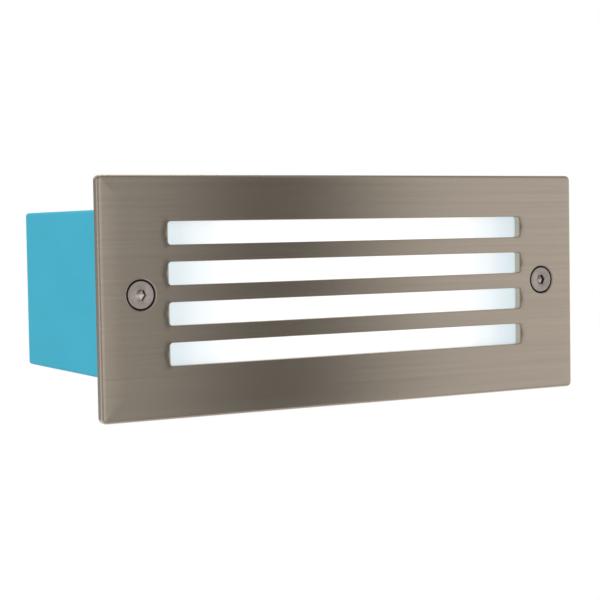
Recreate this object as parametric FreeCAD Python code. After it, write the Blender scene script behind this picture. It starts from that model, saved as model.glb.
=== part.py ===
# Recessed step light in brick format, in millimetres.
#
# +X runs along the front plate, +Y goes into the wall, +Z is up. The wall's surface is the plane Y = 0,
# where the rim of the front plate bears on it. The origin lies on the line between the two cover screws.
# Three parts nest in each other: the recess box stays in the wall, the light unit slides into it, and
# the front cover closes both and is held by two captive screws.

import FreeCAD, Part
import math
import os

from FreeCAD import Vector

# ---------------------------------------------------------------------------------------------------
# Driving sizes
# ---------------------------------------------------------------------------------------------------

# Slots of the front plate
slot_count = 4
slot_length = 172.0
slot_height = 9.1
slot_pitch = 15.9
slot_corner_radius = 1.2
slot_edge_roll = 0.8            # the punched edge rolls in at the front

# Front plate
plate_sheet = 3.3
plate_rim_height = 0.55         # the rim stands this far behind the gasket seat, onto the wall
plate_corner_radius = 2.2
plate_edge_round = 1.2
plate_drop = 1.4                # the plate hangs this much lower than the slots and the box
flange_side = 7.5               # the plate covers this much wall beside the box
flange_top = 14.5               # and this much above and below it
seat_clearance = 0.5            # gasket seat round the gasket's edge

# Cover screws, M6 countersunk with a hexagon socket
screw_radius = 2.95
screw_head_radius = 5.5
screw_head_rim = 0.3
screw_head_sink = 0.1           # head's top below the plate's face
screw_head_chamfer = 0.2
screw_tip_chamfer = 0.8
socket_across_flats = 4.0
socket_depth = 2.3
socket_chamfer = 0.25
screw_hole_clearance = 0.35
countersink_radius = 6.3
screw_travel = 12.0             # twelve turns of the thread, which free the screw from its insert
screw_past_insert = 1.0         # the tightened screw's tip stands this far out of the insert
seal_sink = 0.2                 # seal's edge below the plate's face
seal_running_clearance = 0.05

# Retaining clips on the screws
clip_thickness = 0.7
clip_outer_radius = 4.5
clip_mouth = 3.4
clip_clearance = 0.08           # on each side of the clip in its groove
clip_groove_depth = 0.5
clip_stop_gap = 1.95            # left in front of the clip when the screw is right out
clip_to_insert = 5.05

# Gasket, diffuser and its seal
gasket_thickness = 1.6
gasket_reach_side = 2.0         # edge of the gasket's opening beyond the slots' ends
gasket_reach_top = 0.4
gasket_hole_clearance = 0.25
diffuser_thickness = 3.0
diffuser_seal_thickness = 0.8

# Housing of the light unit
light_margin_side = 2.6         # chamber wall beyond the slots' ends
light_margin_top = 0.5
housing_wall = 1.6
housing_corner_radius = 3.0
gear_space = 34.7               # from the gear tray to the housing's back wall
ear_height = 22.0
ear_floor = 2.0
ear_to_diffuser = 0.6
ear_corner_radius = 2.5
post_radius = 3.5
post_inset = 4.6                # post's axis from the chamber's walls
unit_clearance = 1.0            # round the light unit in the recess box

# Recess box
box_wall = 2.0
box_corner_radius = 1.5
box_rear_round = 1.0
boss_wall = 1.2
boss_bore_clearance = 0.8       # round the clip
boss_to_wall = 1.3
boss_rib = 4.0
boss_tip_relief = 3.0
wiring_space = 26.15            # behind the light unit
entry_radius = 10.25
fixing_hole_radius = 2.6
knockout_groove = 0.5
knockout_depth = 1.0
knockout_y = 60.0

# Threaded inserts
insert_radius = 3.98
insert_seat_clearance = 0.02
insert_length = 9.5
insert_bore_clearance = 0.1     # round the screw
insert_groove_depth = 0.5
insert_groove_width = 2.0

# Plug in the spare conduit entry
plug_flange_reach = 1.75
plug_flange_thickness = 1.5
plug_clearance = 0.1
plug_sink = 0.1

# Reflector and lamp board
reflector_wall = 1.0
reflector_corner_radius = 2.5
reflector_gap = 0.3
reflector_depth = 26.8
board_end_gap = 8.6             # from the chamber's end to the board
board_height = 40.0
board_thickness = 1.6
board_cover = 2.0               # the reflector's floor reaches this far past the board, and over it
board_cover_top = 3.0
pad_thickness = 0.6
led_columns = 12
led_rows = 2
led_row_pitch = 20.0
led_end_margin = 14.0
led_length = 5.6
led_width = 3.0
led_height = 0.8
board_screw_inset_x = 8.0
board_screw_inset_z = 7.0

# Gear tray
tray_thickness = 1.5
tray_gap = 0.6

# Small screws, M3 pan head unless the piece gives its own
small_screw_radius = 1.5
small_head_radius = 2.75
small_head_height = 2.0
small_drive_radius = 1.0
small_drive_depth = 1.2
small_hole_clearance = 0.2
thread_clearance = 0.05
small_screw_grip = 6.0          # length held in the piece that the screw goes into
pilot_room = 1.0                # past the tip of a screw in a blind hole

# Driver
driver_length = 70.0
driver_width = 36.0
driver_height = 22.0
driver_corner_radius = 2.0
driver_edge_round = 1.0
driver_lug_length = 6.0
driver_lug_width = 12.0
driver_lug_thickness = 2.0
grommet_to_driver = 9.0         # from the lead hole's axis
driver_to_terminals = 14.0

# Terminal block
terminal_raise = 4.0            # the middle pole above the box's centre line
terminals_to_gland = 16.0       # to the gland's axis
terminal_depth = 16.0           # along X, from one wire entry to the other
terminal_height = 16.0          # out from the gear tray
terminal_poles = 3
terminal_pitch = 10.0
terminal_end_wall = 6.0
tube_radius = 2.5
tube_bore_radius = 1.6
tube_inset = 0.5
tube_height = 7.3               # tube's axis above the gear tray
clamp_screw_inset = 4.0
clamp_screw_radius = 1.5
clamp_screw_length = 6.5
clamp_well_radius = 2.2
clamp_slot_width = 0.5
clamp_slot_depth = 0.8
terminal_head_radius = 2.5
terminal_head_gap = 0.2
terminal_head_depth = 3.0

# Leads
lead_radius = 0.9
lead_in_tube = 4.0
lead_exit_height = 10.3         # above the gear tray, at the driver's mains end
lead_exit_pitch = 7.0
lead_straight = 4.0             # straight run at each end of a mains lead
led_lead_radius = 0.8
led_lead_exit_height = 12.3     # above the gear tray, at the driver's lamp end
led_lead_exit_pitch = 6.0
led_lead_straight = 5.5
led_lead_pitch = 2.4            # side by side in the grommet
led_lead_bend_height = 8.0      # above the gear tray, where the leads turn into the grommet
led_lead_loop = 7.5             # the leads rise this far off the lamp board
led_pad_offset = 7.0            # from the lead hole to the pads
led_pad_pitch = 3.6
lead_hole_inset = 7.0           # from the lamp board's end
lead_hole_radius = 3.5

# Grommet in the gear tray
grommet_lip = 1.0
grommet_wall = 1.0
board_hole_clearance = 0.3

# Earth terminal
earth_to_terminals = 10.0
earth_inset = 4.9               # from the chamber's lower wall to the screw
earth_screw_radius = 2.0
earth_head_radius = 3.5
earth_lug_radius = 3.9
earth_lug_thickness = 0.8
earth_barrel_length = 5.0
earth_barrel_wall = 0.4
earth_barrel_lift = 0.1         # off the gear tray

# Cable gland
gland_thread_radius = 9.9
gland_hole_clearance = 0.2
gland_passage_radius = 6.5
gland_thread_length = 10.0      # inside the housing's back wall
gland_washer_thickness = 0.8
gland_flats = 24.0
gland_flange_height = 6.0
gland_spigot_wall = 1.3
gland_seal_length = 9.0
gland_seal_wall = 2.45
gland_seal_bore_radius = 5.0
gland_seal_gap = 0.05
gland_nut_gap = 0.1
gland_nut_skirt = 8.0
gland_dome_height = 5.0
gland_mouth_radius = 7.0
locknut_flats = 26.0
locknut_height = 5.0

# How far a cutting tool runs past the faces it cuts
overrun = 1.0

# ---------------------------------------------------------------------------------------------------
# Sizes and places worked out from them
# ---------------------------------------------------------------------------------------------------

# Widths and heights, from the slots outwards
slot_field_height = (slot_count - 1) * slot_pitch + slot_height
chamber_width = slot_length + 2 * light_margin_side
chamber_height = slot_field_height + 2 * light_margin_top
chamber_corner_radius = max(housing_corner_radius - housing_wall, 0)
housing_width = chamber_width + 2 * housing_wall
housing_height = chamber_height + 2 * housing_wall
boss_bore_radius = clip_outer_radius + boss_bore_clearance
boss_radius = boss_bore_radius + boss_wall
screw_x = housing_width / 2 + unit_clearance + boss_radius
cavity_width = 2 * (screw_x + boss_radius + boss_to_wall)
cavity_height = housing_height + 2 * unit_clearance
box_width = cavity_width + 2 * box_wall
box_height = cavity_height + 2 * box_wall
plate_width = box_width + 2 * flange_side
plate_height = box_height + 2 * flange_top
plate_z = -plate_drop

# Stations along Y, from the plate's face to the back of the recess box
wall_face = 0.0
plate_rear = wall_face - plate_rim_height
plate_front = plate_rear - plate_sheet
gasket_rear = plate_rear + gasket_thickness
box_front = gasket_rear
diffuser_rear = gasket_rear + diffuser_thickness
housing_front = diffuser_rear + diffuser_seal_thickness
boss_front = housing_front + ear_floor
reflector_front = housing_front + reflector_gap
board_front = reflector_front + reflector_depth
board_rear = board_front + board_thickness
tray_front = board_rear + pad_thickness
tray_rear = tray_front + tray_thickness
housing_floor = tray_rear + gear_space
housing_rear = housing_floor + housing_wall
cavity_rear = housing_rear + wiring_space
box_rear = cavity_rear + box_wall

# Screw, clip and insert
screw_hole_radius = screw_radius + screw_hole_clearance
head_top = plate_front + screw_head_sink
clip_front = gasket_rear + screw_travel + clip_stop_gap
clip_rear = clip_front + clip_thickness
insert_front = clip_rear + clip_to_insert
insert_rear = insert_front + insert_length
screw_tip = insert_rear + screw_past_insert
clip_groove_radius = screw_radius - clip_groove_depth

# Lamp board
board_length = chamber_width - 2 * board_end_gap
led_pitch = (board_length - 2 * led_end_margin) / (led_columns - 1)
board_screw_x = board_length / 2 - board_screw_inset_x
board_screw_z = board_height / 2 - board_screw_inset_z
post_x = chamber_width / 2 - post_inset
post_z = chamber_height / 2 - post_inset

# Gear behind the tray, set out from the grommet at its left end to the gland at its right
lead_hole_x = board_length / 2 - lead_hole_inset
driver_left = -lead_hole_x + grommet_to_driver
driver_right = driver_left + driver_length
driver_centre_x = (driver_left + driver_right) / 2
terminal_left = driver_right + driver_to_terminals
earth_x = terminal_left - earth_to_terminals
driver_screw_z = driver_width / 2 + driver_lug_length / 2
terminal_right = terminal_left + terminal_depth
terminal_x = (terminal_left + terminal_right) / 2
entry_x = terminal_right + terminals_to_gland
fixing_x = (entry_x + entry_radius + screw_x - boss_radius) / 2
terminal_rear = tray_rear + terminal_height
terminal_width = (terminal_poles - 1) * terminal_pitch + 2 * terminal_end_wall
tube_y = tray_rear + tube_height
earth_z = chamber_height / 2 - earth_inset
earth_barrel_y = tray_rear + earth_barrel_lift + lead_radius + earth_barrel_wall
earth_barrel_top = -earth_z + earth_lug_radius + earth_barrel_length

# Gland, from the housing's back wall outwards
gland_flange_front = housing_rear + gland_washer_thickness
gland_flange_rear = gland_flange_front + gland_flange_height
gland_seal_radius = gland_seal_bore_radius + gland_seal_wall
gland_spigot_bore = gland_seal_radius + gland_seal_gap
gland_spigot_radius = gland_spigot_bore + gland_spigot_wall
gland_seal_rear = gland_flange_rear + gland_seal_length
gland_nut_front = gland_flange_rear + gland_nut_gap
gland_nut_shoulder = gland_nut_front + gland_nut_skirt
gland_nut_rear = gland_nut_shoulder + gland_dome_height


# ---------------------------------------------------------------------------------------------------
# Shapes that the pieces are made of
# ---------------------------------------------------------------------------------------------------

def rounded_outline(width, height, y, radius, x=0.0, z=0.0):
    """Closed wire of a rectangle with round corners, in the plane at this Y, centred on (x, z)."""
    right, top = x + width / 2, z + height / 2
    left, bottom = x - width / 2, z - height / 2
    if radius <= 0:
        corners = [(left, bottom), (right, bottom), (right, top), (left, top), (left, bottom)]
        return Part.makePolygon([Vector(px, y, pz) for px, pz in corners])
    bulge = radius * (1 - math.sqrt(0.5))
    edges = []
    turns = [
        (right - radius, bottom, right - bulge, bottom + bulge, right, bottom + radius),
        (right, top - radius, right - bulge, top - bulge, right - radius, top),
        (left + radius, top, left + bulge, top - bulge, left, top - radius),
        (left, bottom + radius, left + bulge, bottom + bulge, left + radius, bottom),
    ]
    for index, (ax, az, mx, mz, bx, bz) in enumerate(turns):
        start, middle, end = Vector(ax, y, az), Vector(mx, y, mz), Vector(bx, y, bz)
        edges.append(Part.Arc(start, middle, end).toShape())
        following = turns[(index + 1) % len(turns)]
        edges.append(Part.LineSegment(end, Vector(following[0], y, following[1])).toShape())
    return Part.Wire(edges)


def slab(width, height, front, rear, radius=0.0, x=0.0, z=0.0):
    """Rectangular block with round corners, from the Y of its front to the Y of its rear."""
    face = Part.Face(rounded_outline(width, height, front, radius, x, z))
    return face.extrude(Vector(0, rear - front, 0))


def disc(radius, front, rear, x=0.0, z=0.0):
    """Round bar along Y."""
    return Part.makeCylinder(radius, rear - front, Vector(x, front, z), Vector(0, 1, 0))


def opening(width, height, front, rear, radius=0.0, x=0.0, z=0.0):
    """Tool that cuts a rectangular opening right through what lies between front and rear."""
    return slab(width, height, front - overrun, rear + overrun, radius, x, z)


def hole(radius, front, rear, x=0.0, z=0.0):
    """Tool that cuts a round hole right through what lies between front and rear."""
    return disc(radius, front - overrun, rear + overrun, x, z)


def ring(outer_radius, inner_radius, front, rear, x=0.0, z=0.0):
    """Round bar along Y with a hole through it."""
    return disc(outer_radius, front, rear, x, z).cut(hole(inner_radius, front, rear, x, z))


def tapered(front_width, front_height, rear_width, rear_height, front, rear, radius):
    """Block along Y whose sides run from a rectangle at its front to another at its rear, rounded between."""
    block = Part.makeWedge(
        -front_width / 2, front, -front_height / 2, -rear_height / 2, -rear_width / 2,
        front_width / 2, rear, front_height / 2, rear_height / 2, rear_width / 2,
    )
    uprights = [edge for edge in block.Edges if edge.BoundBox.YLength > (rear - front) / 2]
    return block.makeFillet(radius, uprights)


def hexagon(across_flats, front, rear, x=0.0, z=0.0):
    """Hexagonal bar along Y, with two of its flats level."""
    reach = across_flats / math.sqrt(3)
    angles = [math.radians(60 * corner) for corner in range(7)]
    corners = [Vector(x + reach * math.cos(angle), front, z + reach * math.sin(angle)) for angle in angles]
    return Part.Face(Part.makePolygon(corners)).extrude(Vector(0, rear - front, 0))


def turned(profile, x=0.0, z=0.0):
    """Solid of revolution about the line along Y through (x, z). The profile is a list of (radius, Y)."""
    points = [Vector(x + radius, y, z) for radius, y in profile]
    face = Part.Face(Part.makePolygon(points + points[:1]))
    return face.revolve(Vector(x, 0, z), Vector(0, 1, 0), 360)


def edges_at(shape, y, half_width=None, half_height=None):
    """Edges that lie in the plane at this Y, optionally only those within a rectangle round the Y axis."""
    tolerance = 1e-4
    found = []
    for edge in shape.Edges:
        box = edge.BoundBox
        if abs(box.YMin - y) > tolerance or abs(box.YMax - y) > tolerance:
            continue
        if half_width is not None and max(abs(box.XMin), abs(box.XMax)) > half_width:
            continue
        if half_height is not None and max(abs(box.ZMin), abs(box.ZMax)) > half_height:
            continue
        found.append(edge)
    return found


def rectangle_of(half_x, half_z):
    """The four corners of a rectangle round the Y axis, as (x, z)."""
    return [(sx * half_x, sz * half_z) for sx in (-1, 1) for sz in (-1, 1)]


def pan_screw(head_top_y, grip_end, x, z, direction=1, head_radius=None, radius=None):
    """Pan-head screw along Y. Its head starts at head_top_y, and it points along direction (+1 or -1)."""
    head_radius = small_head_radius if head_radius is None else head_radius
    radius = small_screw_radius if radius is None else radius
    head_end = head_top_y + direction * small_head_height
    drive_end = head_top_y + direction * small_drive_depth
    rim = small_head_height / 2
    return turned(
        [
            (0, drive_end),
            (small_drive_radius, head_top_y + direction * small_drive_depth / 2),
            (small_drive_radius, head_top_y),
            (head_radius - rim, head_top_y),
            (head_radius, head_top_y + direction * rim),
            (head_radius, head_end),
            (radius, head_end),
            (radius, grip_end),
            (0, grip_end),
        ],
        x,
        z,
    )


def lead(name, route, radius):
    """Round lead along a route: straight runs joined by tangent arcs as large as the runs allow."""
    points = [Vector(*point) for point in route]
    edges = []
    position = points[0]
    radii = []
    for before, corner, after in zip(points, points[1:], points[2:]):
        back = (before - corner).normalize()
        ahead = (after - corner).normalize()
        turn = math.pi - back.getAngle(ahead)
        reach = 0.45 * min((before - corner).Length, (after - corner).Length)
        bend_radius = reach / math.tan(turn / 2)
        start, end = corner + back * reach, corner + ahead * reach
        inward = (back + ahead).normalize()
        middle = corner + inward * (bend_radius / math.cos(turn / 2) - bend_radius)
        edges.append(Part.LineSegment(position, start).toShape())
        edges.append(Part.Arc(start, middle, end).toShape())
        position = end
        radii.append(bend_radius)
    edges.append(Part.LineSegment(position, points[-1]).toShape())
    path = Part.Wire(edges)
    section = Part.Wire(Part.makeCircle(radius, points[0], points[1] - points[0]))
    tube = path.makePipeShell([section], True, False)
    expected = math.pi * radius ** 2 * path.Length
    print(
        f"{name}: length {path.Length:.1f}, smallest bend radius {min(radii):.1f}, "
        f"volume over section times length {tube.Volume / expected:.4f}"
    )
    return tube


# ---------------------------------------------------------------------------------------------------
# Front cover
# ---------------------------------------------------------------------------------------------------

def slot_levels():
    """Z of each slot's centre line, from the lowest up."""
    return [(index - (slot_count - 1) / 2) * slot_pitch for index in range(slot_count)]


def front_plate():
    """Stainless plate with rolled slots, countersinks, a rim onto the wall and a gasket seat inside it."""
    plate = slab(plate_width, plate_height, plate_front, wall_face, plate_corner_radius, z=plate_z)
    plate = plate.makeFillet(plate_edge_round, edges_at(plate, plate_front))
    seat_width = box_width + 2 * seat_clearance
    seat_height = box_height + 2 * seat_clearance
    plate = plate.cut(slab(seat_width, seat_height, plate_rear, wall_face + overrun, box_corner_radius))
    for level in slot_levels():
        slot = opening(slot_length, slot_height, plate_front, plate_rear, slot_corner_radius, z=level)
        plate = plate.cut(slot)
    rim_edges = edges_at(plate, plate_front, slot_length / 2 + overrun, slot_field_height / 2 + overrun)
    plate = plate.makeFillet(slot_edge_roll, rim_edges)
    countersink_end = plate_front + countersink_radius - screw_hole_radius
    for x in (-screw_x, screw_x):
        plate = plate.cut(hole(screw_hole_radius, plate_front, plate_rear, x))
        cone = [
            (0, plate_front - overrun),
            (countersink_radius + overrun, plate_front - overrun),
            (screw_hole_radius, countersink_end),
            (0, countersink_end),
        ]
        plate = plate.cut(turned(cone, x))
    return plate


def front_gasket():
    """Flat gasket between the plate, the diffuser and the recess box."""
    gasket = slab(box_width, box_height, plate_rear, gasket_rear, box_corner_radius)
    opening_width = slot_length + 2 * gasket_reach_side
    opening_height = slot_field_height + 2 * gasket_reach_top
    window = opening(opening_width, opening_height, plate_rear, gasket_rear, slot_corner_radius)
    hole_radius = screw_radius + gasket_hole_clearance
    return gasket.cut([window] + [hole(hole_radius, plate_rear, gasket_rear, x) for x in (-screw_x, screw_x)])


def head_cone_radius(y):
    """Radius of the screw head's cone at this Y; the cone is at 45 degrees."""
    return screw_head_radius - (y - head_top - screw_head_rim)


def screw_seal(x):
    """Rubber cup seal between a screw's head and its countersink."""
    seal_front = plate_front + seal_sink
    rim_end = head_top + screw_head_rim
    seal_rear = plate_rear - screw_head_rim - seal_sink
    outer = countersink_radius - seal_sink
    clearance = seal_running_clearance
    drop = seal_rear - seal_front
    return turned(
        [
            (screw_head_radius + clearance, seal_front),
            (outer, seal_front),
            (outer - drop, seal_rear),
            (head_cone_radius(seal_rear) + clearance, seal_rear),
            (head_cone_radius(rim_end) + clearance, rim_end),
        ],
        x,
    )


def cover_screw(x):
    """Countersunk screw with a hexagon socket, and a groove for its retaining clip."""
    cone_end = head_top + screw_head_rim + screw_head_radius - screw_radius
    groove_front = clip_front - clip_clearance
    groove_rear = clip_rear + clip_clearance
    screw = turned(
        [
            (0, head_top),
            (screw_head_radius - screw_head_chamfer, head_top),
            (screw_head_radius, head_top + screw_head_chamfer),
            (screw_head_radius, head_top + screw_head_rim),
            (screw_radius, cone_end),
            (screw_radius, groove_front),
            (clip_groove_radius, groove_front),
            (clip_groove_radius, groove_rear),
            (screw_radius, groove_rear),
            (screw_radius, screw_tip - screw_tip_chamfer),
            (screw_radius - screw_tip_chamfer, screw_tip),
            (0, screw_tip),
        ],
        x,
    )
    socket_floor = head_top + socket_depth
    socket = hexagon(socket_across_flats, head_top - overrun, socket_floor, x)
    mouth_radius = socket_across_flats / math.sqrt(3) + socket_chamfer
    mouth = turned(
        [
            (0, head_top - overrun),
            (mouth_radius + overrun, head_top - overrun),
            (mouth_radius - 2 * socket_chamfer, head_top + 2 * socket_chamfer),
            (0, head_top + 2 * socket_chamfer),
        ],
        x,
    )
    drill_radius = socket_across_flats / 2
    drill_point = turned(
        [(0, socket_floor), (drill_radius, socket_floor), (0, socket_floor + drill_radius / 2)], x
    )
    return screw.cut(socket).cut(mouth).cut(drill_point)


def retaining_clip(x):
    """Open ring that snaps into the screw's groove and keeps the screw on the loosened cover."""
    clip = ring(clip_outer_radius, clip_groove_radius + clip_clearance, clip_front, clip_rear, x)
    reach = clip_outer_radius + overrun
    return clip.cut(opening(clip_mouth, reach, clip_front, clip_rear, x=x, z=-reach / 2))


# ---------------------------------------------------------------------------------------------------
# Light unit: housing, diffuser, reflector and lamp board
# ---------------------------------------------------------------------------------------------------

def unit_housing():
    """Cast housing: an open tray with two ears for the cover screws and four posts for the gear tray."""
    housing = slab(housing_width, housing_height, housing_front, housing_rear, housing_corner_radius)
    ear_end = cavity_width / 2 - unit_clearance
    ear_root = chamber_width / 2
    pad_start = housing_width / 2 + ear_to_diffuser
    for side in (-1, 1):
        # the ear's floor, its square root beside the diffuser, and the pad that stands up to the gasket
        runs = [
            (ear_root, ear_end, housing_front, ear_corner_radius),
            (ear_root, pad_start, housing_front, 0),
            (pad_start, ear_end, box_front, ear_corner_radius),
        ]
        for start, end, front, radius in runs:
            middle = side * (start + end) / 2
            housing = housing.fuse(slab(end - start, ear_height, front, boss_front, radius, x=middle))
    housing = housing.cut(
        slab(chamber_width, chamber_height, housing_front - overrun, housing_floor, chamber_corner_radius)
    )
    posts = rectangle_of(post_x, post_z)
    post_root = housing_floor + housing_wall / 2
    housing = housing.fuse([disc(post_radius, tray_rear, post_root, x, z) for x, z in posts])
    pilot_radius = small_screw_radius + thread_clearance
    pilot_end = tray_rear + small_screw_grip + pilot_room
    tools = [disc(pilot_radius, tray_rear - overrun, pilot_end, x, z) for x, z in posts]
    tools += [hole(boss_bore_radius, box_front, boss_front, side * screw_x) for side in (-1, 1)]
    tools.append(hole(gland_thread_radius + gland_hole_clearance, housing_floor, housing_rear, entry_x))
    return housing.cut(tools).removeSplitter()


def diffuser():
    """Frosted pane that lies on the housing's mouth."""
    return slab(housing_width, housing_height, gasket_rear, diffuser_rear, housing_corner_radius)


def diffuser_seal():
    """Rubber frame between the diffuser and the housing's mouth."""
    front, rear = diffuser_rear, housing_front
    seal = slab(housing_width, housing_height, front, rear, housing_corner_radius)
    return seal.cut(opening(chamber_width, chamber_height, front, rear, chamber_corner_radius))


def reflector_tray():
    """White tray whose walls slope in to the lamp board, with a window in its floor."""
    mouth_width = chamber_width - 2 * reflector_gap
    mouth_height = chamber_height - 2 * reflector_gap
    floor_width = board_length + 2 * board_cover
    floor_height = board_height + 2 * board_cover
    walls = 2 * reflector_wall
    floor_front = board_front - reflector_wall
    outside = tapered(
        mouth_width, mouth_height, floor_width, floor_height,
        reflector_front, board_front, reflector_corner_radius,
    )
    inside = tapered(
        mouth_width - walls, mouth_height - walls, floor_width - walls, floor_height - walls,
        reflector_front, floor_front, reflector_corner_radius - reflector_wall,
    )
    window_width = board_length - 2 * board_cover
    window_height = board_height - 2 * board_cover_top
    window = opening(window_width, window_height, floor_front, board_front, reflector_wall)
    return outside.cut([inside, window])


def board_openings(radius, front, rear):
    """Tools that cut the lamp board's four screw holes, and the hole that its leads come through."""
    tools = [hole(radius, front, rear, x, z) for x, z in rectangle_of(board_screw_x, board_screw_z)]
    tools.append(hole(lead_hole_radius + grommet_lip + board_hole_clearance, front, rear, -lead_hole_x))
    return tools


def led_board():
    """Aluminium-core lamp board."""
    board = slab(board_length, board_height, board_front, board_rear, reflector_wall)
    return board.cut(board_openings(small_screw_radius + small_hole_clearance, board_front, board_rear))


def thermal_pad():
    """Heat-conducting pad between the lamp board and the gear tray."""
    pad = slab(board_length, board_height, board_rear, tray_front)
    return pad.cut(board_openings(small_screw_radius + small_hole_clearance, board_rear, tray_front))


def led_chips():
    """Two rows of lamps on the board."""
    chips = []
    for column in range(led_columns):
        x = (column - (led_columns - 1) / 2) * led_pitch
        for row in range(led_rows):
            z = (row - (led_rows - 1) / 2) * led_row_pitch
            chips.append(slab(led_length, led_width, board_front - led_height, board_front, x=x, z=z))
    return Part.makeCompound(chips)


def led_board_screws():
    """Four screws that hold the lamp board on the gear tray."""
    head = board_front - small_head_height
    tip = tray_rear + thread_clearance
    places = rectangle_of(board_screw_x, board_screw_z)
    return Part.makeCompound([pan_screw(head, tip, x, z) for x, z in places])


# ---------------------------------------------------------------------------------------------------
# Light unit: gear tray, driver, terminals and leads
# ---------------------------------------------------------------------------------------------------

def gear_tray():
    """Aluminium plate that carries the lamp board in front and the gear behind."""
    width = chamber_width - 2 * tray_gap
    height = chamber_height - 2 * tray_gap
    tray = slab(width, height, tray_front, tray_rear, reflector_wall)
    clear = small_screw_radius + small_hole_clearance
    tapped = small_screw_radius + thread_clearance
    holes = [(clear, x, z) for x, z in rectangle_of(post_x, post_z)]
    holes += [(tapped, x, z) for x, z in rectangle_of(board_screw_x, board_screw_z)]
    holes += [(tapped, driver_centre_x, side * driver_screw_z) for side in (-1, 1)]
    holes += [(tapped, terminal_x, z) for z in terminal_fixings()]
    holes.append((earth_screw_radius + thread_clearance, earth_x, -earth_z))
    holes.append((lead_hole_radius, -lead_hole_x, 0))
    return tray.cut([hole(radius, tray_front, tray_rear, x, z) for radius, x, z in holes])


def gear_tray_screws():
    """Four screws that hold the gear tray on the housing's posts."""
    head = tray_front - small_head_height
    tip = tray_rear + small_screw_grip
    return Part.makeCompound([pan_screw(head, tip, x, z) for x, z in rectangle_of(post_x, post_z)])


def driver_case():
    """Sealed lamp driver with a fixing lug on each long side."""
    rear = tray_rear + driver_height
    case = slab(driver_length, driver_width, tray_rear, rear, driver_corner_radius, x=driver_centre_x)
    case = case.makeFillet(driver_edge_round, edges_at(case, rear))
    lug_rear = tray_rear + driver_lug_thickness
    lug_height = driver_width + 2 * driver_lug_length
    case = case.fuse(
        slab(driver_lug_width, lug_height, tray_rear, lug_rear, driver_corner_radius, x=driver_centre_x)
    )
    hole_radius = small_screw_radius + small_hole_clearance
    for side in (-1, 1):
        case = case.cut(hole(hole_radius, tray_rear, lug_rear, driver_centre_x, side * driver_screw_z))
    return case.removeSplitter()


def driver_screws():
    """Two screws that hold the driver on the gear tray."""
    head = tray_rear + driver_lug_thickness + small_head_height
    tip = tray_front + thread_clearance
    return Part.makeCompound(
        [pan_screw(head, tip, driver_centre_x, side * driver_screw_z, direction=-1) for side in (-1, 1)]
    )


def pole_levels():
    """Z of each pole of the terminal block, from the lowest up."""
    middle = (terminal_poles - 1) / 2
    return [terminal_raise + (index - middle) * terminal_pitch for index in range(terminal_poles)]


def terminal_fixings():
    """Z of the terminal block's two fixing screws, which stand between its poles."""
    return [terminal_raise + side * terminal_pitch / 2 for side in (-1, 1)]


def clamp_screw_places():
    """(x, z) of the clamp screws: two on each pole."""
    columns = (terminal_left + clamp_screw_inset, terminal_right - clamp_screw_inset)
    return [(x, z) for x in columns for z in pole_levels()]


def terminal_block():
    """Plastic body of the mains terminals."""
    block = slab(terminal_depth, terminal_width, tray_rear, terminal_rear, x=terminal_x, z=terminal_raise)
    tools = []
    bore_radius = tube_radius + thread_clearance
    for z in pole_levels():
        start = Vector(terminal_left - overrun, tube_y, z)
        tools.append(Part.makeCylinder(bore_radius, terminal_depth + 2 * overrun, start, Vector(1, 0, 0)))
    for x, z in clamp_screw_places():
        tools.append(disc(clamp_well_radius, tube_y, terminal_rear + overrun, x, z))
    recess_floor = terminal_rear - terminal_head_depth
    for z in terminal_fixings():
        tools.append(hole(small_screw_radius + small_hole_clearance, tray_rear, terminal_rear, terminal_x, z))
        recess_radius = terminal_head_radius + terminal_head_gap
        tools.append(disc(recess_radius, recess_floor, terminal_rear + overrun, terminal_x, z))
    return block.cut(tools)


def terminal_tubes():
    """Brass tubes that the conductors are clamped in."""
    tubes = []
    length = terminal_depth - 2 * tube_inset
    for z in pole_levels():
        start = Vector(terminal_left + tube_inset, tube_y, z)
        along = Vector(1, 0, 0)
        tube = Part.makeCylinder(tube_radius, length, start, along)
        bore_start = start - along * overrun
        tube = tube.cut(Part.makeCylinder(tube_bore_radius, length + 2 * overrun, bore_start, along))
        for x, level in clamp_screw_places():
            if level == z:
                tube = tube.cut(disc(clamp_screw_radius + thread_clearance, tube_y, terminal_rear, x, z))
        tubes.append(tube)
    return Part.makeCompound(tubes)


def terminal_screws():
    """Slotted clamp screws of the terminals."""
    screws = []
    tip = tube_y + lead_radius + thread_clearance
    top = tip + clamp_screw_length
    for x, z in clamp_screw_places():
        slot = slab(
            2 * clamp_well_radius, clamp_slot_width, top - clamp_slot_depth, top + overrun, x=x, z=z
        )
        screws.append(disc(clamp_screw_radius, tip, top, x, z).cut(slot))
    return Part.makeCompound(screws)


def terminal_fixing_screws():
    """Two screws that hold the terminal block on the gear tray."""
    head = terminal_rear - terminal_head_depth + small_head_height
    tip = tray_front + thread_clearance
    return Part.makeCompound(
        [pan_screw(head, tip, terminal_x, z, -1, terminal_head_radius) for z in terminal_fixings()]
    )


def mains_lead(name, pole):
    """Lead from the driver's mains end to a pole of the terminal block, counted from the middle one up."""
    exit_y = tray_rear + lead_exit_height
    exit_z = terminal_raise + pole * lead_exit_pitch
    pole_z = terminal_raise + pole * terminal_pitch
    return lead(
        name,
        [
            (driver_right, exit_y, exit_z),
            (driver_right + lead_straight, exit_y, exit_z),
            (terminal_left - lead_straight, tube_y, pole_z),
            (terminal_left + tube_inset + lead_in_tube, tube_y, pole_z),
        ],
        lead_radius,
    )


def live_lead():
    """Live lead, to the top pole."""
    return mains_lead("live_lead", 1)


def neutral_lead():
    """Neutral lead, to the middle pole."""
    return mains_lead("neutral_lead", 0)


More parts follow.
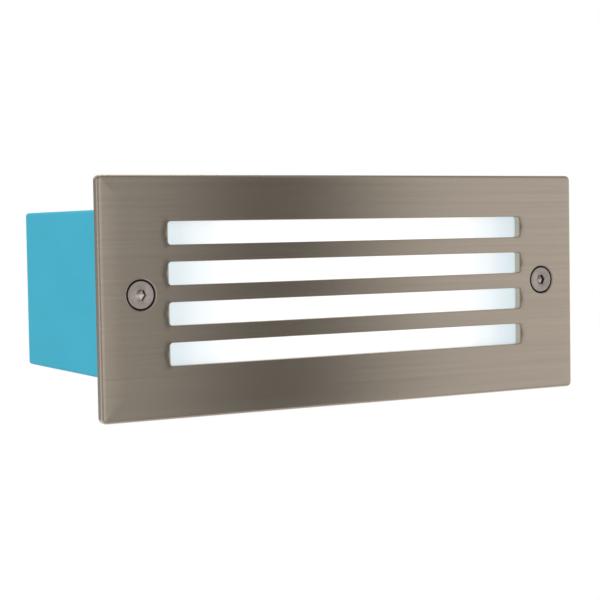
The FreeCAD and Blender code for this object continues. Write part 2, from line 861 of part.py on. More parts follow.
def earth_lead():
    """Earth lead, from the lowest pole down to the lug on the gear tray."""
    pole_z = terminal_raise - terminal_pitch
    bend_z = earth_barrel_top + lead_straight / 2 + lead_in_tube / 10
    return lead(
        "earth_lead",
        [
            (terminal_left + tube_inset + lead_in_tube, tube_y, pole_z),
            (earth_x + lead_straight - lead_radius / 2, tube_y, pole_z),
            (earth_x, (tube_y + earth_barrel_y) / 2, (pole_z + bend_z) / 2),
            (earth_x, earth_barrel_y, bend_z),
            (earth_x, earth_barrel_y, earth_barrel_top - lead_in_tube),
        ],
        lead_radius,
    )


def earth_lug():
    """Ring terminal with a crimped barrel."""
    hole_radius = earth_screw_radius + small_hole_clearance
    lug_rear = tray_rear + earth_lug_thickness
    eye = ring(earth_lug_radius, hole_radius, tray_rear, lug_rear, earth_x, -earth_z)
    up = Vector(0, 0, 1)
    length = earth_barrel_length + overrun
    start = Vector(earth_x, earth_barrel_y, earth_barrel_top - length)
    barrel = Part.makeCylinder(lead_radius + earth_barrel_wall, length, start, up)
    hollow = Part.makeCylinder(lead_radius + thread_clearance, length, start + up * overrun, up)
    room = earth_head_radius + small_hole_clearance
    head_room = disc(room, lug_rear, tray_rear + driver_height, earth_x, -earth_z)
    return eye.fuse(barrel).cut([hollow, head_room]).removeSplitter()


def earth_screw():
    """Screw that clamps the earth lug."""
    head = tray_rear + earth_lug_thickness + small_head_height
    tip = tray_front + thread_clearance
    return pan_screw(head, tip, earth_x, -earth_z, -1, earth_head_radius, earth_screw_radius)


def led_lead(name, side):
    """Lead from the driver's lamp end, through the grommet, to its pad on the front of the lamp board."""
    exit_y = tray_rear + led_lead_exit_height
    exit_z = side * led_lead_exit_pitch / 2
    hole_z = side * led_lead_pitch / 2
    pad_z = side * led_pad_pitch / 2
    hole_x = -lead_hole_x
    pad_x = hole_x + led_pad_offset
    shoulder_y = board_front - led_lead_loop / 2
    return lead(
        name,
        [
            (driver_left, exit_y, exit_z),
            (driver_left - led_lead_straight, exit_y, exit_z),
            (hole_x, tray_rear + led_lead_bend_height, hole_z),
            (hole_x, shoulder_y, hole_z),
            ((hole_x + pad_x) / 2, board_front - led_lead_loop, (hole_z + pad_z) / 2),
            (pad_x, shoulder_y, pad_z),
            (pad_x, board_front, pad_z),
        ],
        led_lead_radius,
    )


def led_lead_positive():
    """Positive lead of the lamp board."""
    return led_lead("led_lead_positive", 1)


def led_lead_negative():
    """Negative lead of the lamp board."""
    return led_lead("led_lead_negative", -1)


def tray_grommet():
    """Grooved rubber ring in the gear tray's lead hole."""
    outer = lead_hole_radius + grommet_lip
    inner = lead_hole_radius - grommet_wall
    return turned(
        [
            (inner, tray_front - grommet_lip),
            (outer, tray_front - grommet_lip),
            (outer, tray_front),
            (lead_hole_radius, tray_front),
            (lead_hole_radius, tray_rear),
            (outer, tray_rear),
            (outer, tray_rear + grommet_lip),
            (inner, tray_rear + grommet_lip),
        ],
        -lead_hole_x,
    )


# ---------------------------------------------------------------------------------------------------
# Light unit: cable gland in the housing's back wall
# ---------------------------------------------------------------------------------------------------

def gland_body():
    """Gland body: thread through the wall, hexagon flange, and a spigot that holds the seal."""
    inner_end = housing_floor - gland_thread_length
    body = disc(gland_thread_radius, inner_end, gland_flange_rear, entry_x)
    flange = hexagon(gland_flats, gland_flange_front, gland_flange_rear, entry_x)
    spigot_rear = gland_seal_rear - gland_spigot_wall
    spigot = disc(gland_spigot_radius, gland_flange_rear, spigot_rear, entry_x)
    body = body.fuse([flange, spigot])
    passage = disc(gland_passage_radius, inner_end - overrun, gland_flange_rear, entry_x)
    seat = disc(gland_spigot_bore, gland_flange_rear, spigot_rear + overrun, entry_x)
    return body.cut([passage, seat]).removeSplitter()


def gland_washer():
    """Flat seal under the gland's flange."""
    bore = gland_thread_radius + gland_hole_clearance
    return ring(gland_flats / 2, bore, housing_rear, gland_flange_front, entry_x)


def gland_locknut():
    """Nut that holds the gland, inside the housing."""
    nut = hexagon(locknut_flats, housing_floor - locknut_height, housing_floor, entry_x)
    bore_radius = gland_thread_radius + thread_clearance
    return nut.cut(hole(bore_radius, housing_floor - locknut_height, housing_floor, entry_x))


def gland_seal():
    """Rubber sleeve that grips the mains cable."""
    return ring(gland_seal_radius, gland_seal_bore_radius, gland_flange_rear, gland_seal_rear, entry_x)


def gland_dome_nut():
    """Dome nut that squeezes the seal onto the cable."""
    skirt = hexagon(gland_flats, gland_nut_front, gland_nut_shoulder, entry_x)
    dome = Part.makeCone(
        gland_flats / 2, gland_mouth_radius + gland_spigot_wall, gland_dome_height,
        Vector(entry_x, gland_nut_shoulder, 0), Vector(0, 1, 0),
    )
    bore_end = gland_seal_rear + gland_nut_gap
    bore = disc(gland_spigot_radius + gland_nut_gap, gland_nut_front - overrun, bore_end, entry_x)
    mouth = disc(gland_mouth_radius, gland_nut_front, gland_nut_rear + overrun, entry_x)
    return skirt.fuse(dome).cut([bore, mouth]).removeSplitter()


# ---------------------------------------------------------------------------------------------------
# Recess box
# ---------------------------------------------------------------------------------------------------

def knockout_ring(x, side):
    """Tool for the ring groove of a knock-out in the top (side +1) or bottom (side -1) of the box."""
    face_z = side * box_height / 2
    start = Vector(x, knockout_y, face_z - side * knockout_depth)
    height = knockout_depth + overrun
    outer = Part.makeCylinder(entry_radius, height, start, Vector(0, 0, side))
    return outer.cut(Part.makeCylinder(entry_radius - knockout_groove, height, start, Vector(0, 0, side)))


def recess_box():
    """Moulded box with two bosses for the cover screws, conduit entries, fixing holes and knock-outs."""
    box = slab(box_width, box_height, box_front, box_rear, box_corner_radius)
    box = box.makeFillet(box_rear_round, edges_at(box, box_rear))
    box = box.cut(slab(cavity_width, cavity_height, box_front - overrun, cavity_rear, box_corner_radius))
    root = cavity_rear + box_wall / 2
    rib_length = cavity_width / 2 - screw_x + box_wall / 2
    for side in (-1, 1):
        rib_x = side * (screw_x + rib_length / 2)
        boss = disc(boss_radius, boss_front, root, side * screw_x)
        box = box.fuse([boss, slab(rib_length, boss_rib, boss_front, root, x=rib_x)])
    tools = []
    tip_end = insert_rear + boss_tip_relief
    for side in (-1, 1):
        x = side * screw_x
        tools.append(disc(boss_bore_radius, boss_front - overrun, insert_front, x))
        tools.append(disc(insert_radius + insert_seat_clearance, insert_front, insert_rear, x))
        tools.append(disc(screw_radius + insert_bore_clearance, insert_rear, tip_end, x))
        tools.append(hole(entry_radius, cavity_rear, box_rear, side * entry_x))
        tools.append(hole(fixing_hole_radius, cavity_rear, box_rear, side * fixing_x))
        tools += [knockout_ring(side * entry_x, face) for face in (-1, 1)]
    return box.cut(tools).removeSplitter()


def threaded_insert(x):
    """Brass insert in a boss, grooved so that the plastic holds it."""
    bore = screw_radius + insert_bore_clearance
    groove_front = (insert_front + insert_rear - insert_groove_width) / 2
    groove_rear = groove_front + insert_groove_width
    return turned(
        [
            (bore, insert_front),
            (insert_radius, insert_front),
            (insert_radius, groove_front),
            (insert_radius - insert_groove_depth, groove_front),
            (insert_radius - insert_groove_depth, groove_rear),
            (insert_radius, groove_rear),
            (insert_radius, insert_rear),
            (bore, insert_rear),
        ],
        x,
    )


def entry_plug():
    """Rubber plug in the spare conduit entry, flush with the back of the box."""
    neck = entry_radius - plug_clearance
    flange = entry_radius + plug_flange_reach
    return turned(
        [
            (0, cavity_rear - plug_flange_thickness),
            (flange, cavity_rear - plug_flange_thickness),
            (flange, cavity_rear),
            (neck, cavity_rear),
            (neck, box_rear - plug_sink),
            (0, box_rear - plug_sink),
        ],
        -entry_x,
    )


# ---------------------------------------------------------------------------------------------------
# The pieces, by name
# ---------------------------------------------------------------------------------------------------

def all_pieces():
    """Every piece as (name, shape)."""
    whole = [
        front_plate, front_gasket, diffuser,
        unit_housing, diffuser_seal, reflector_tray, led_board, thermal_pad, led_chips, led_board_screws,
        gear_tray, gear_tray_screws, driver_case, driver_screws,
        terminal_block, terminal_tubes, terminal_screws, terminal_fixing_screws,
        live_lead, neutral_lead, earth_lead, earth_lug, earth_screw,
        led_lead_positive, led_lead_negative, tray_grommet,
        gland_body, gland_washer, gland_locknut, gland_seal, gland_dome_nut,
        recess_box, entry_plug,
    ]
    pieces = [(make.__name__, make()) for make in whole]
    for side, x in (("left", -screw_x), ("right", screw_x)):
        pieces.append((f"cover_screw_{side}", cover_screw(x)))
        pieces.append((f"screw_seal_{side}", screw_seal(x)))
        pieces.append((f"retaining_clip_{side}", retaining_clip(x)))
        pieces.append((f"insert_{side}", threaded_insert(x)))
    return pieces


def main():
    """Writes one STEP file for each piece."""
    os.makedirs("parts", exist_ok=True)
    for name, shape in all_pieces():
        if not shape.isValid() or not shape.Solids:
            raise RuntimeError(f"{name} is not a valid solid")
        shape.exportStep(os.path.join("parts", name + ".step"))
    print(
        f"plate {plate_width:.2f} x {plate_height:.2f}, box {box_width:.2f} x {box_height:.2f}, "
        f"screws at {screw_x:.2f}, Y from {plate_front:.2f} to {box_rear:.2f}, screw tip {screw_tip:.2f}"
    )


main()
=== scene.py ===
"""Looks of the recessed step light, built round its packed construction model.

Everything is in metres in the row frame: +X runs along the front plate, +Y goes into the wall, +Z is up,
and the plane Y = 0 is the wall's surface. Each sub-assembly is a class; main() builds them in order.
"""

import logging
import math
from dataclasses import dataclass, field
from enum import Enum
from itertools import pairwise
from typing import Any, Iterable, Mapping, Protocol, Sequence, Union

import bmesh
import bpy
from mathutils import Matrix, Vector


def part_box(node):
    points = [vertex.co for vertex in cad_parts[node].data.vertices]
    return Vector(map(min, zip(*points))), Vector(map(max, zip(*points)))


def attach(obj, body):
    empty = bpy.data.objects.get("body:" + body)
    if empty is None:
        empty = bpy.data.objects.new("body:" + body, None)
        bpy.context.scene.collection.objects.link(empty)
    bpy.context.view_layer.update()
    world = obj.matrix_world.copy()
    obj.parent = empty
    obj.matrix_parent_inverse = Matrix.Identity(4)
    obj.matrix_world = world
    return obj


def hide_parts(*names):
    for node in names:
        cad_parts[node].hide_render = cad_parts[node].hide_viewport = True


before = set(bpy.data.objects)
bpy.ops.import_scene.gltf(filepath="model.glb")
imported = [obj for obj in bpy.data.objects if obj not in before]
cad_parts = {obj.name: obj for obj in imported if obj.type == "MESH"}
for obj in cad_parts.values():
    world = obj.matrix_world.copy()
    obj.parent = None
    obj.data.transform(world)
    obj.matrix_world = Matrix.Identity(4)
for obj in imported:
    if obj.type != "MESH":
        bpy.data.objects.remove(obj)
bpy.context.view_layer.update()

MM = 0.001
TURN = 2 * math.pi

log = logging.getLogger("step_light")

Colour = tuple[float, float, float]
Point = tuple[float, float, float]
Span = tuple[float, float]
Ring = list[bmesh.types.BMVert]
Outline = list[tuple[float, float]]

WHITE: Colour = (1.0, 1.0, 1.0)
CREASE = math.radians(32.0)


# ---- Shader maths ----

class Signal:
    """The output socket of a shader node, on which Python's arithmetic adds Math nodes."""

    def __init__(self, shader: "Shader", socket: bpy.types.NodeSocket) -> None:
        """Keeps the socket and the shader that it belongs to."""
        self.shader = shader
        self.socket = socket

    def _math(self, operation: str, first: "Amount", second: "Amount" = 0.0) -> "Signal":
        """Adds one Math node.

        Args:
            operation: the Math node's operation.
            first: its first value or link.
            second: its second value or link.

        Returns:
            The node's result.
        """
        return self.shader.node("ShaderNodeMath", {"operation": operation}, {0: first, 1: second})

    def __add__(self, other: "Amount") -> "Signal":
        """Sum of the two."""
        return self._math("ADD", self, other)

    __radd__ = __add__

    def __sub__(self, other: "Amount") -> "Signal":
        """This less the other."""
        return self._math("SUBTRACT", self, other)

    def __rsub__(self, other: "Amount") -> "Signal":
        """The other less this."""
        return self._math("SUBTRACT", other, self)

    def __mul__(self, other: "Amount") -> "Signal":
        """Product of the two."""
        return self._math("MULTIPLY", self, other)

    __rmul__ = __mul__

    def __truediv__(self, other: "Amount") -> "Signal":
        """This over the other."""
        return self._math("DIVIDE", self, other)

    def __rtruediv__(self, other: "Amount") -> "Signal":
        """The other over this."""
        return self._math("DIVIDE", other, self)

    def __pow__(self, other: "Amount") -> "Signal":
        """This to the power of the other."""
        return self._math("POWER", self, other)

    def __rpow__(self, other: "Amount") -> "Signal":
        """The other to the power of this."""
        return self._math("POWER", other, self)

    def __abs__(self) -> "Signal":
        """Size without the sign."""
        return self._math("ABSOLUTE", self)

    def __mod__(self, other: "Amount") -> "Signal":
        """Remainder after division by the other, never below 0."""
        return self._math("FLOORED_MODULO", self, other)

    def __rmod__(self, other: "Amount") -> "Signal":
        """Remainder of the other after division by this."""
        return self._math("FLOORED_MODULO", other, self)

    def rise(self, low: float, high: float) -> "Signal":
        """Soft step.

        Args:
            low: where it starts to leave 0.
            high: where it reaches 1; below low, the step falls instead.

        Returns:
            A signal from 0 to 1.
        """
        if low > high:
            return 1.0 - self.rise(high, low)
        limits = {"Value": self, "From Min": low, "From Max": high}
        return self.shader.node("ShaderNodeMapRange", {"interpolation_type": "SMOOTHSTEP"}, limits)


Amount = Union[Signal, float]
MIX_FACTOR, MIX_FIRST, MIX_SECOND, MIX_RESULT = 0, 6, 7, 2


class Shader:
    """The node tree of one material, or of the world."""

    def __init__(self, tree: bpy.types.NodeTree) -> None:
        """Empties the tree."""
        self.tree = tree
        self.tree.nodes.clear()

    def node(
        self,
        kind: str,
        settings: Mapping[str, Any] | None = None,
        sockets: Mapping[str | int, Any] | None = None,
        output: str | int = 0,
    ) -> Signal:
        """Adds a node.

        Args:
            kind: the node's type.
            settings: its own settings, set before its sockets; "stops" are a ramp's places and colours.
            sockets: the value or link of each of its inputs, by name or number.
            output: which of its outputs is wanted.

        Returns:
            That output, or the first input of a node that has no output.
        """
        made = self.tree.nodes.new(kind)
        for name, value in (settings or {}).items():
            if name == "stops":
                self._set_stops(made.color_ramp, value)
            else:
                setattr(made, name, value)
        for name, value in (sockets or {}).items():
            if isinstance(value, Signal):
                self.tree.links.new(value.socket, made.inputs[name])
            else:
                made.inputs[name].default_value = value
        return Signal(self, made.outputs[output] if len(made.outputs) else made.inputs[0])

    def all_of(self, first: Signal, names: Sequence[str | int]) -> list[Signal]:
        """Several outputs, by name or number, of the node that this signal comes from."""
        return [Signal(self, first.socket.node.outputs[name]) for name in names]

    @staticmethod
    def _set_stops(ramp: bpy.types.ColorRamp, stops: Sequence[tuple[float, Colour]]) -> None:
        """Gives a colour ramp its stops.

        Args:
            ramp: the ramp, with its two first stops.
            stops: each stop's place and colour, in order.
        """
        while len(ramp.elements) < len(stops):
            ramp.elements.new(0.5)
        for element, (place, colour) in zip(ramp.elements, stops):
            element.position = place
            element.color = (*colour, 1.0)

    def place(self) -> Signal:
        """Position on the piece, in metres, in the row frame at rest."""
        return self.node("ShaderNodeTexCoord", output="Object")

    def facing(self) -> Signal:
        """Direction that the surface faces, in the row frame at rest."""
        return self.node("ShaderNodeTexCoord", output="Normal")

    def parts(self, vector: Signal) -> list[Signal]:
        """The three components of a vector."""
        return self.all_of(self.node("ShaderNodeSeparateXYZ", sockets={0: vector}), range(3))

    def rays(self, *kinds: str) -> list[Signal]:
        """For each of these kinds of ray, 1 where such a ray arrives."""
        return self.all_of(self.node("ShaderNodeLightPath"), kinds)

    def stretched(self, vector: Signal, stretch: Sequence[float]) -> Signal:
        """The vector with each component multiplied."""
        return self.node("ShaderNodeVectorMath", {"operation": "MULTIPLY"}, {0: vector, 1: tuple(stretch)})

    def noise(self, grains: float | Sequence[float], detail: float = 3.0, roughness: float = 0.55) -> Signal:
        """Noise over the piece.

        Args:
            grains: grains per metre, along all axes or along each.
            detail: how many finer layers it has.
            roughness: how strong the finer layers are.

        Returns:
            A signal that varies round 0.5.
        """
        vector = self.stretched(self.place(), [grains] * 3 if isinstance(grains, float) else grains)
        sockets = {"Vector": vector, "Scale": 1.0, "Detail": detail, "Roughness": roughness}
        return self.node("ShaderNodeTexNoise", sockets=sockets)

    def tint(self, factor: Amount, first: Any, second: Any, blend: str = "MIX") -> Signal:
        """Mixes two colours.

        Args:
            factor: 0 gives the first colour and 1 the second.
            first: a colour or a link.
            second: a colour or a link.
            blend: how the second is laid on the first.

        Returns:
            The mixed colour.
        """
        settings = {"data_type": "RGBA", "blend_type": blend}
        sockets = {MIX_FACTOR: factor, MIX_FIRST: solid(first), MIX_SECOND: solid(second)}
        return self.node("ShaderNodeMix", settings, sockets, MIX_RESULT)

    def bump(self, height: Signal, distance: float) -> Signal:
        """Normal of a surface with this height, whose full size is distance, in metres."""
        return self.node("ShaderNodeBump", sockets={"Height": height, "Distance": distance, "Strength": 1.0})

    def principled(self, sockets: Mapping[str, Any]) -> None:
        """Ends a material in a Principled shader.

        Args:
            sockets: the value or link of each of its inputs, by name.
        """
        ready = {name: solid(value) if "Color" in name else value for name, value in sockets.items()}
        surface = self.node("ShaderNodeBsdfPrincipled", sockets=ready)
        self.node("ShaderNodeOutputMaterial", sockets={"Surface": surface})


def solid(colour: Any) -> Any:
    """A colour with its alpha; a link stays as it is."""
    return colour if isinstance(colour, Signal) else (*colour[:3], 1.0)


def shade(colour: Colour, factor: float) -> Colour:
    """The colour made lighter or darker."""
    red, green, blue = (min(1.0, part * factor) for part in colour)
    return red, green, blue


# ---- Finishes ----

class Grain(Enum):
    """Which way a metal's working marks run: how much the marks are drawn out along each axis."""

    ALONG_PLATE = (0.012, 1.0, 1.0)
    BLASTED = (1.0, 1.0, 1.0)


@dataclass(frozen=True)
class Finish:
    """What every finish has: its name, colour and roughness, and how far noise varies the last two."""

    name: str
    colour: Colour
    roughness: float
    scatter: float = 0.2
    shades: Span = (0.95, 1.05)
    contrast: Span = (0.3, 0.7)

    def varied(self, noise: Signal) -> Signal:
        """The colour, from its first shade to its second as the noise rises over the contrast."""
        first, second = (shade(self.colour, factor) for factor in self.shades)
        return noise.shader.tint(noise.rise(*self.contrast), first, second)

    def scattered(self, noise: Signal) -> Signal:
        """The roughness, which follows the noise."""
        return self.roughness + (noise - 0.5) * self.scatter

    def paint(self, shader: Shader) -> None:
        """Draws the finish.

        Args:
            shader: the material's empty shader.
        """
        raise NotImplementedError

    def material(self) -> bpy.types.Material:
        """Makes the finish into a material.

        Returns:
            The material, the same one at each call.
        """
        made = bpy.data.materials.get(self.name)
        if made is None:
            made = bpy.data.materials.new(self.name)
            made.use_nodes = True
            self.paint(Shader(made.node_tree))
            made.diffuse_color = (*self.colour, 1.0)
        return made


@dataclass(frozen=True)
class MetalFinish(Finish):
    """Bare or plated metal with working marks."""

    scatter: float = 0.22
    shades: Span = (0.90, 1.10)
    contrast: Span = (0.25, 0.75)
    grain: Grain = Grain.BLASTED
    grain_size: float = 0.3 * MM
    mark_depth: float = 0.004 * MM
    cloud_breadth: float = 9.0
    cloud_share: float = 0.6
    anisotropy: float = 0.0
    rotation: float = 0.0

    def paint(self, shader: Shader) -> None:
        """Fine marks in the grain's direction over broad, faint clouds.

        Args:
            shader: the material's empty shader.
        """
        fine = [drawn / self.grain_size for drawn in self.grain.value]
        marks = shader.noise(fine, 4.0, 0.65)
        clouds = shader.noise([part / self.cloud_breadth for part in fine], 2.0)
        shader.principled({
            "Base Color": self.varied(marks * (1 - self.cloud_share) + clouds * self.cloud_share),
            "Metallic": 1.0,
            "Roughness": self.scattered(marks),
            "Anisotropic": self.anisotropy,
            "Anisotropic Rotation": self.rotation,
            "Normal": shader.bump(marks, self.mark_depth),
        })


@dataclass(frozen=True)
class ScrewFinish(Finish):
    """Blasted stainless steel, with painted shade down the socket and over the top part of its floor, a
    painted highlight on the floor's bottom part, and a glossier shaded socket.
    """

    shades: Span = (0.86, 1.12)
    screw_x: float = 97.7 * MM
    head_top: float = -3.75 * MM
    head_fade: Span = (0.0, -0.5 * MM)
    socket_fade: Span = (2.42 * MM, 2.32 * MM)
    # painted shade: the socket's walls darken between these depths below the head, to the level below
    shade_depths: Span = (0.22 * MM, 0.9 * MM)
    shade_level: float = 0.18
    socket_gloss: float = 0.14
    # painted highlight: the socket's floor is lightened by the factor below, fullest towards its bottom
    floor_depths: Span = (2.15 * MM, 2.3 * MM)
    floor_highlight: float = 1.85
    highlight_heights: Span = (0.5 * MM, -0.5 * MM)
    highlight_least: float = 0.25
    pits_per_metre: float = 5200.0
    pit_depth: float = 0.006 * MM
    clouds_per_metre: float = 900.0
    cloud_share: float = 0.4

    def paint(self, shader: Shader) -> None:
        """Blasted pits over the screw, painted shade below the socket's mouth, and a painted highlight on the
        bottom of its floor.

        Args:
            shader: the material's empty shader.
        """
        along, into, up = shader.parts(shader.place())
        middle = abs(along) - self.screw_x
        radius = (middle * middle + up * up) ** 0.5
        depth = into - self.head_top
        inside = radius.rise(*self.socket_fade) * into.rise(*self.head_fade)
        # painted light in the socket: a highlight on the floor's bottom part, and shade on the walls and the
        # floor's top part
        lit_share = self.highlight_least + up.rise(*self.highlight_heights) * (1 - self.highlight_least)
        painted_highlight = depth.rise(*self.floor_depths) * lit_share
        painted_shade = inside * depth.rise(*self.shade_depths) * (1.0 - painted_highlight)
        pits = shader.noise(self.pits_per_metre, 4.0, 0.65)
        clouds = shader.noise(self.clouds_per_metre)
        blasted = self.varied(pits * (1 - self.cloud_share) + clouds * self.cloud_share)
        shaded = shader.tint(painted_shade, blasted, shade(self.colour, self.shade_level))
        shader.principled({
            "Base Color": shader.tint(inside * painted_highlight, shaded, shade(self.colour, self.floor_highlight)),
            "Metallic": 1.0,
            "Roughness": self.scattered(pits) - painted_shade * self.socket_gloss,
            "Normal": shader.bump(pits, self.pit_depth),
        })


@dataclass(frozen=True)
class PlasticFinish(Finish):
    """Moulded plastic with a fine eroded texture and faint flow marks."""

    scatter: float = 0.18
    texture_size: float = 0.45 * MM
    texture_depth: float = 0.02 * MM
    flow_per_metre: Point = (22.0, 22.0, 60.0)
    specular: float = 0.5
    coat: float = 0.0
    coat_roughness: float = 0.12

    def paint(self, shader: Shader) -> None:
        """Eroded texture in the surface, and broad soft flow marks in the colour.

        Args:
            shader: the material's empty shader.
        """
        texture = shader.noise(1 / self.texture_size, 3.0, 0.6)
        shader.principled({
            "Base Color": self.varied(shader.noise(self.flow_per_metre, 2.0)),
            "Roughness": self.scattered(texture),
            "Specular IOR Level": self.specular,
            "Coat Weight": self.coat,
            "Coat Roughness": self.coat_roughness,
            "Normal": shader.bump(texture, self.texture_depth),
        })


@dataclass(frozen=True)
class RubberFinish(Finish):
    """Moulded rubber, dull, with a bloom and fine pores."""

    shades: Span = (1.0, 1.28)
    contrast: Span = (0.4, 0.8)
    pore_size: float = 0.25 * MM
    pore_depth: float = 0.02 * MM
    blooms_per_metre: float = 160.0
    specular: float = 0.22

    def paint(self, shader: Shader) -> None:
        """Pores in the surface under a faint grey bloom.

        Args:
            shader: the material's empty shader.
        """
        bloom = shader.noise(self.blooms_per_metre)
        shader.principled({
            "Base Color": self.varied(bloom),
            "Roughness": self.scattered(bloom),
            "Specular IOR Level": self.specular,
            "Normal": shader.bump(shader.noise(1 / self.pore_size, 4.0, 0.7), self.pore_depth),
        })


@dataclass(frozen=True)
class SleeveFinish(Finish):
    """Soft plastic sleeve of a lead, with an optional stripe along it."""

    scatter: float = 0.12
    shades: Span = (0.88, 1.0)
    contrast: Span = (0.35, 0.7)
    stripe: Colour | None = None
    stripe_faces: Point = (0.55, 0.62, -0.56)
    stripe_edge: Span = (0.28, 0.36)
    waves_per_metre: float = 700.0
    wave_depth: float = 0.03 * MM

    def paint(self, shader: Shader) -> None:
        """Smooth sleeve with a slightly wavy skin; the stripe lies on the side that faces its own way.

        Args:
            shader: the material's empty shader.
        """
        wave = shader.noise(self.waves_per_metre)
        colour = self.varied(wave)
        if self.stripe is not None:
            faced = {0: shader.facing(), 1: self.stripe_faces}
            towards = shader.node("ShaderNodeVectorMath", {"operation": "DOT_PRODUCT"}, faced, "Value")
            colour = shader.tint(towards.rise(*self.stripe_edge), colour, self.stripe)
        shader.principled({
            "Base Color": colour,
            "Roughness": self.scattered(wave),
            "Normal": shader.bump(wave, self.wave_depth),
        })


@dataclass(frozen=True)
class LitPaneFinish(Finish):
    """Frosted pane, lit from behind: white in the middle, cooler and weaker towards its ends."""

    middle: Colour = WHITE
    end: Colour = (0.60, 0.71, 0.76)
    end_fade: Span = (50 * MM, 93 * MM)
    rim_fade: Span = (24 * MM, 31 * MM)
    rim_loss: float = 0.05
    glow: float = 0.93
    evenness: float = 0.985
    lamp_pitch: float = 12 * MM
    lamp_ripple: float = 0.012
    frost_per_metre: float = 2600.0
    frost_depth: float = 0.015 * MM
    frost_ripple: float = 0.03

    def paint(self, shader: Shader) -> None:
        """Glow that fades along the pane, with the lamps behind it just felt, and a sandblasted skin.

        Args:
            shader: the material's empty shader.
        """
        along, _, up = shader.parts(shader.place())
        frost = shader.noise(self.frost_per_metre, 3.0, 0.6)
        ripple = shader.node("ShaderNodeMath", {"operation": "COSINE"}, {0: along * (TURN / self.lamp_pitch)})
        rim = abs(up).rise(*self.rim_fade) * self.rim_loss
        felt = self.evenness + ripple * self.lamp_ripple + (frost - 0.5) * self.frost_ripple - rim
        level = shader.node("ShaderNodeCombineXYZ", sockets={0: felt, 1: felt, 2: felt})
        colour = shader.tint(abs(along).rise(*self.end_fade), self.middle, self.end)
        shader.principled({
            "Base Color": self.colour,
            "Roughness": self.scattered(frost),
            "Emission Color": shader.tint(1.0, colour, level, "MULTIPLY"),
            "Emission Strength": self.glow,
            "Normal": shader.bump(frost, self.frost_depth),
        })


@dataclass(frozen=True)
class CircuitFinish(Finish):
    """Lamp board: white mask over copper, whose tracks just show through it."""

    scatter: float = 0.1
    shades: Span = (0.97, 1.0)
    edge: Colour = (0.42, 0.42, 0.44)
    face_turn: Span = (0.5, 0.8)
    mask_per_metre: float = 1500.0
    mask_height: float = 0.1
    track_pitch: float = 6 * MM
    track_start: float = 3 * MM
    track_gap: Span = (0.5 * MM, 0.9 * MM)
    track_reach: Span = (6.4 * MM, 5.9 * MM)
    row_height: float = 10 * MM
    bus_height: float = 17.8 * MM
    bus_edge: Span = (0.9 * MM, 0.6 * MM)
    copper_height: float = 0.035 * MM
    copper_seen: float = 0.35
    copper_shade: float = 0.86

    def copper(self, along: Signal, up: Signal) -> Signal:
        """The tracks between the lamps, and the two long ones above and below.

        Args:
            along: place along the board.
            up: height on the board.

        Returns:
            1 on copper and 0 beside it.
        """
        gap = abs((along + self.track_start) % (2 * self.track_pitch) - self.track_pitch)
        rows = abs(abs(up) - self.row_height)
        track = gap.rise(*self.track_gap) * rows.rise(*self.track_reach)
        bus = abs(abs(up) - self.bus_height).rise(*self.bus_edge)
        return (track + bus).rise(0.0, 1.0)

    def paint(self, shader: Shader) -> None:
        """Broad copper tracks between the lamps, dimly seen, and an uncoated alloy edge.

        Args:
            shader: the material's empty shader.
        """
        along, _, up = shader.parts(shader.place())
        _, out, _ = shader.parts(shader.facing())
        copper = self.copper(along, up)
        mask = shader.noise(self.mask_per_metre, 2.0)
        traced = shade(self.colour, self.copper_shade)
        printed = shader.tint(copper * self.copper_seen, self.varied(mask), traced)
        face = abs(out).rise(*self.face_turn)
        shader.principled({
            "Base Color": shader.tint(face, self.edge, printed),
            "Roughness": self.scattered(mask),
            "Metallic": 1.0 - face,
            "Normal": shader.bump(copper + mask * self.mask_height, self.copper_height),
        })


@dataclass(frozen=True)
class PhosphorFinish(Finish):
    """Silicone over phosphor in a lamp's window."""

    scatter: float = 0.1
    shades: Span = (0.85, 1.1)
    grains_per_metre: float = 6000.0
    grain_height: float = 0.01 * MM
    coat: float = 0.6

    def paint(self, shader: Shader) -> None:
        """Yellow grains under clear silicone.

        Args:
            shader: the material's empty shader.
        """
        grains = shader.noise(self.grains_per_metre, 3.0, 0.7)
        shader.principled({
            "Base Color": self.varied(grains),
            "Roughness": self.scattered(grains),
            "Coat Weight": self.coat,
            "Normal": shader.bump(grains, self.grain_height),
        })


@dataclass(frozen=True)
class TurnedFinish(Finish):
    """Brass turned in a lathe: fine rings round an axis along Y."""

    scatter: float = 0.25
    shades: Span = (1.0, 0.72)
    contrast: Span = (0.35, 0.8)
    ring_pitch: float = 0.12 * MM
    ring_depth: float = 0.01 * MM
    breaks_per_metre: float = 120.0
    tarnish_per_metre: float = 420.0

    def paint(self, shader: Shader) -> None:
        """Tool marks that follow the depth, over slight tarnish.

        Args:
            shader: the material's empty shader.
        """
        rings = shader.noise((self.breaks_per_metre, 1 / self.ring_pitch, self.breaks_per_metre), 2.0)
        tarnish = shader.noise(self.tarnish_per_metre, 4.0, 0.6)
        shader.principled({
            "Base Color": self.varied(tarnish),
            "Metallic": 1.0,
            "Roughness": self.scattered(tarnish),
            "Normal": shader.bump(rings, self.ring_depth),
        })


